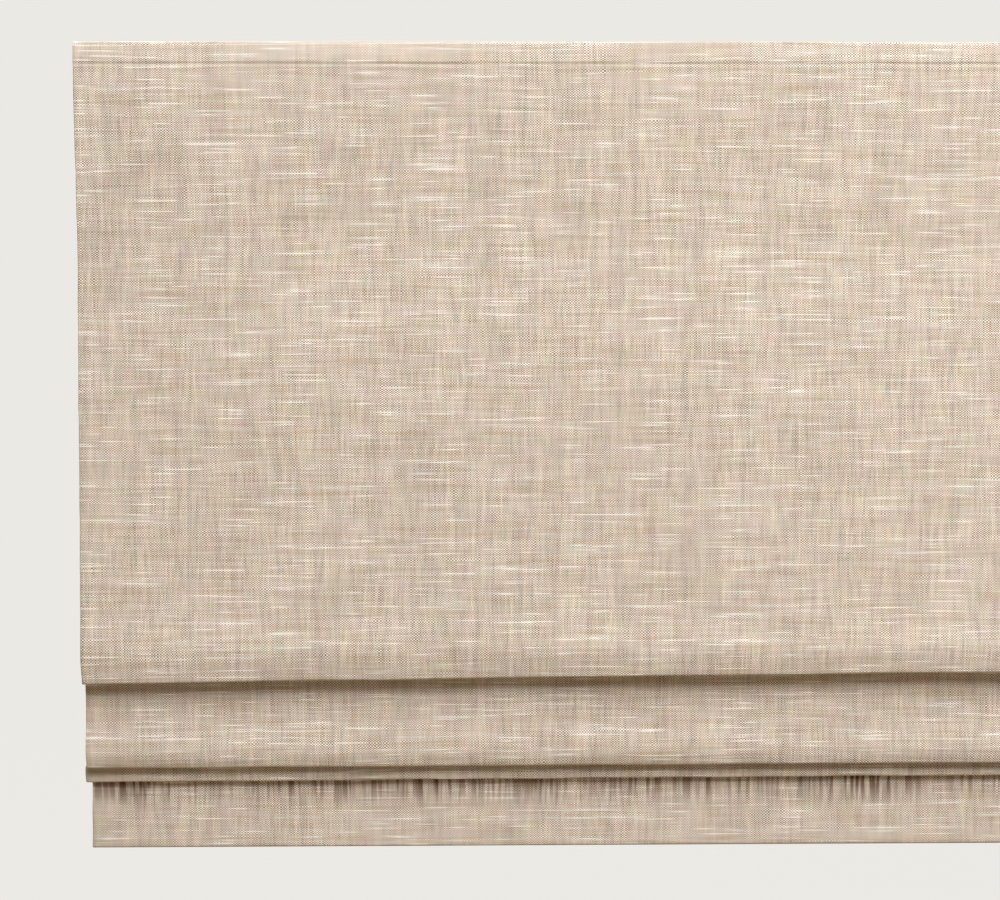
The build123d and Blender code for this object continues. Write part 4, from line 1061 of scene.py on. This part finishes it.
# Studio, in metres: one broad soft light high in front, a weaker one behind, a faint warm world for the
# shadows, and a floor and backdrop that the eye sees as pale
studio = {
    "front": {"size": 3.4, "far": 5.0, "elevation": 53.0, "azimuth": 30.0, "power": 545.0},
    "behind": {"size": 3.0, "far": 4.5, "elevation": 35.0, "azimuth": 215.0, "power": 260.0},
    "target": (0, 0, -0.4), "ambient": 0.05, "ambientColour": "#efb883", "background": "#ebe9e4",
    "floor": -1.7, "floorReach": 9.0, "paper": "#998872", "glow": 1.012, "glowShare": 0.985,
}
target = Vector(studio["target"])
for place in ("front", "behind"):
    lampValues = studio[place]
    elevation, azimuth = math.radians(lampValues["elevation"]), math.radians(lampValues["azimuth"])
    toLight = Vector((math.sin(azimuth) * math.cos(elevation), -math.cos(azimuth) * math.cos(elevation),
                      math.sin(elevation)))
    lamp = bpy.data.lights.new(f"{place}Light", "AREA")
    lamp.shape = "SQUARE"
    lamp.size = lampValues["size"]
    lamp.energy = lampValues["power"]
    turn = toLight.to_track_quat("Z", "Y").to_matrix().to_4x4()
    lampObject = addObject(f"{place}Light", lamp)
    lampObject.matrix_world = Matrix.Translation(target + toLight * lampValues["far"]) @ turn


def seenDirectly(tree):
    # 1 for camera, mirror and glass rays, which all meet the pale backdrop
    path = addNode(tree, "ShaderNodeLightPath")
    rays = [path.outputs[name] for name in ("Is Camera Ray", "Is Glossy Ray", "Is Transmission Ray")]
    some = calculate(tree, "MAXIMUM", rays[0], rays[1])
    return calculate(tree, "MAXIMUM", some, rays[2])


world = bpy.data.worlds.new("studio")
bpy.context.scene.world = world
world.use_nodes = True
sky = world.node_tree
sky.nodes.clear()
soft = addNode(sky, "ShaderNodeBackground", {
    "Color": linear(studio["ambientColour"]), "Strength": studio["ambient"]})
backdrop = addNode(sky, "ShaderNodeBackground", {"Color": linear(studio["background"]), "Strength": 1.0})
chosen = addNode(sky, "ShaderNodeMixShader", {0: seenDirectly(sky), 1: soft, 2: backdrop})
addNode(sky, "ShaderNodeOutputWorld", {"Surface": chosen})

floorMesh = bpy.data.meshes.new("floor")
reach = studio["floorReach"]
corners = [(-reach, -reach, 0), (reach, -reach, 0), (reach, reach, 0), (-reach, reach, 0)]
floorMesh.from_pydata(corners, [], [(0, 1, 2, 3)])
floorMesh.transform(Matrix.Translation((0, 0, studio["floor"])))
floor = addObject("floor", floorMesh)
# Seamless paper: matt, mostly its own backdrop colour to the eye, with the object's shadow on it
paper, paperTree, paperSurface = newMaterial("backdropPaper", {
    "Base Color": linear(studio["paper"]), "Roughness": 0.9})
glow = addNode(paperTree, "ShaderNodeEmission", {
    "Color": linear(studio["background"]), "Strength": studio["glow"]})
share = calculate(paperTree, "MULTIPLY", seenDirectly(paperTree), studio["glowShare"])
mixed = addNode(paperTree, "ShaderNodeMixShader", {0: share, 1: paperSurface, 2: glow})
paperTree.links.new(mixed.outputs[0], paperTree.nodes["Material Output"].inputs["Surface"])
floorMesh.materials.append(paper)
bpy.context.scene.view_settings.view_transform = "Standard"
print("stage set")
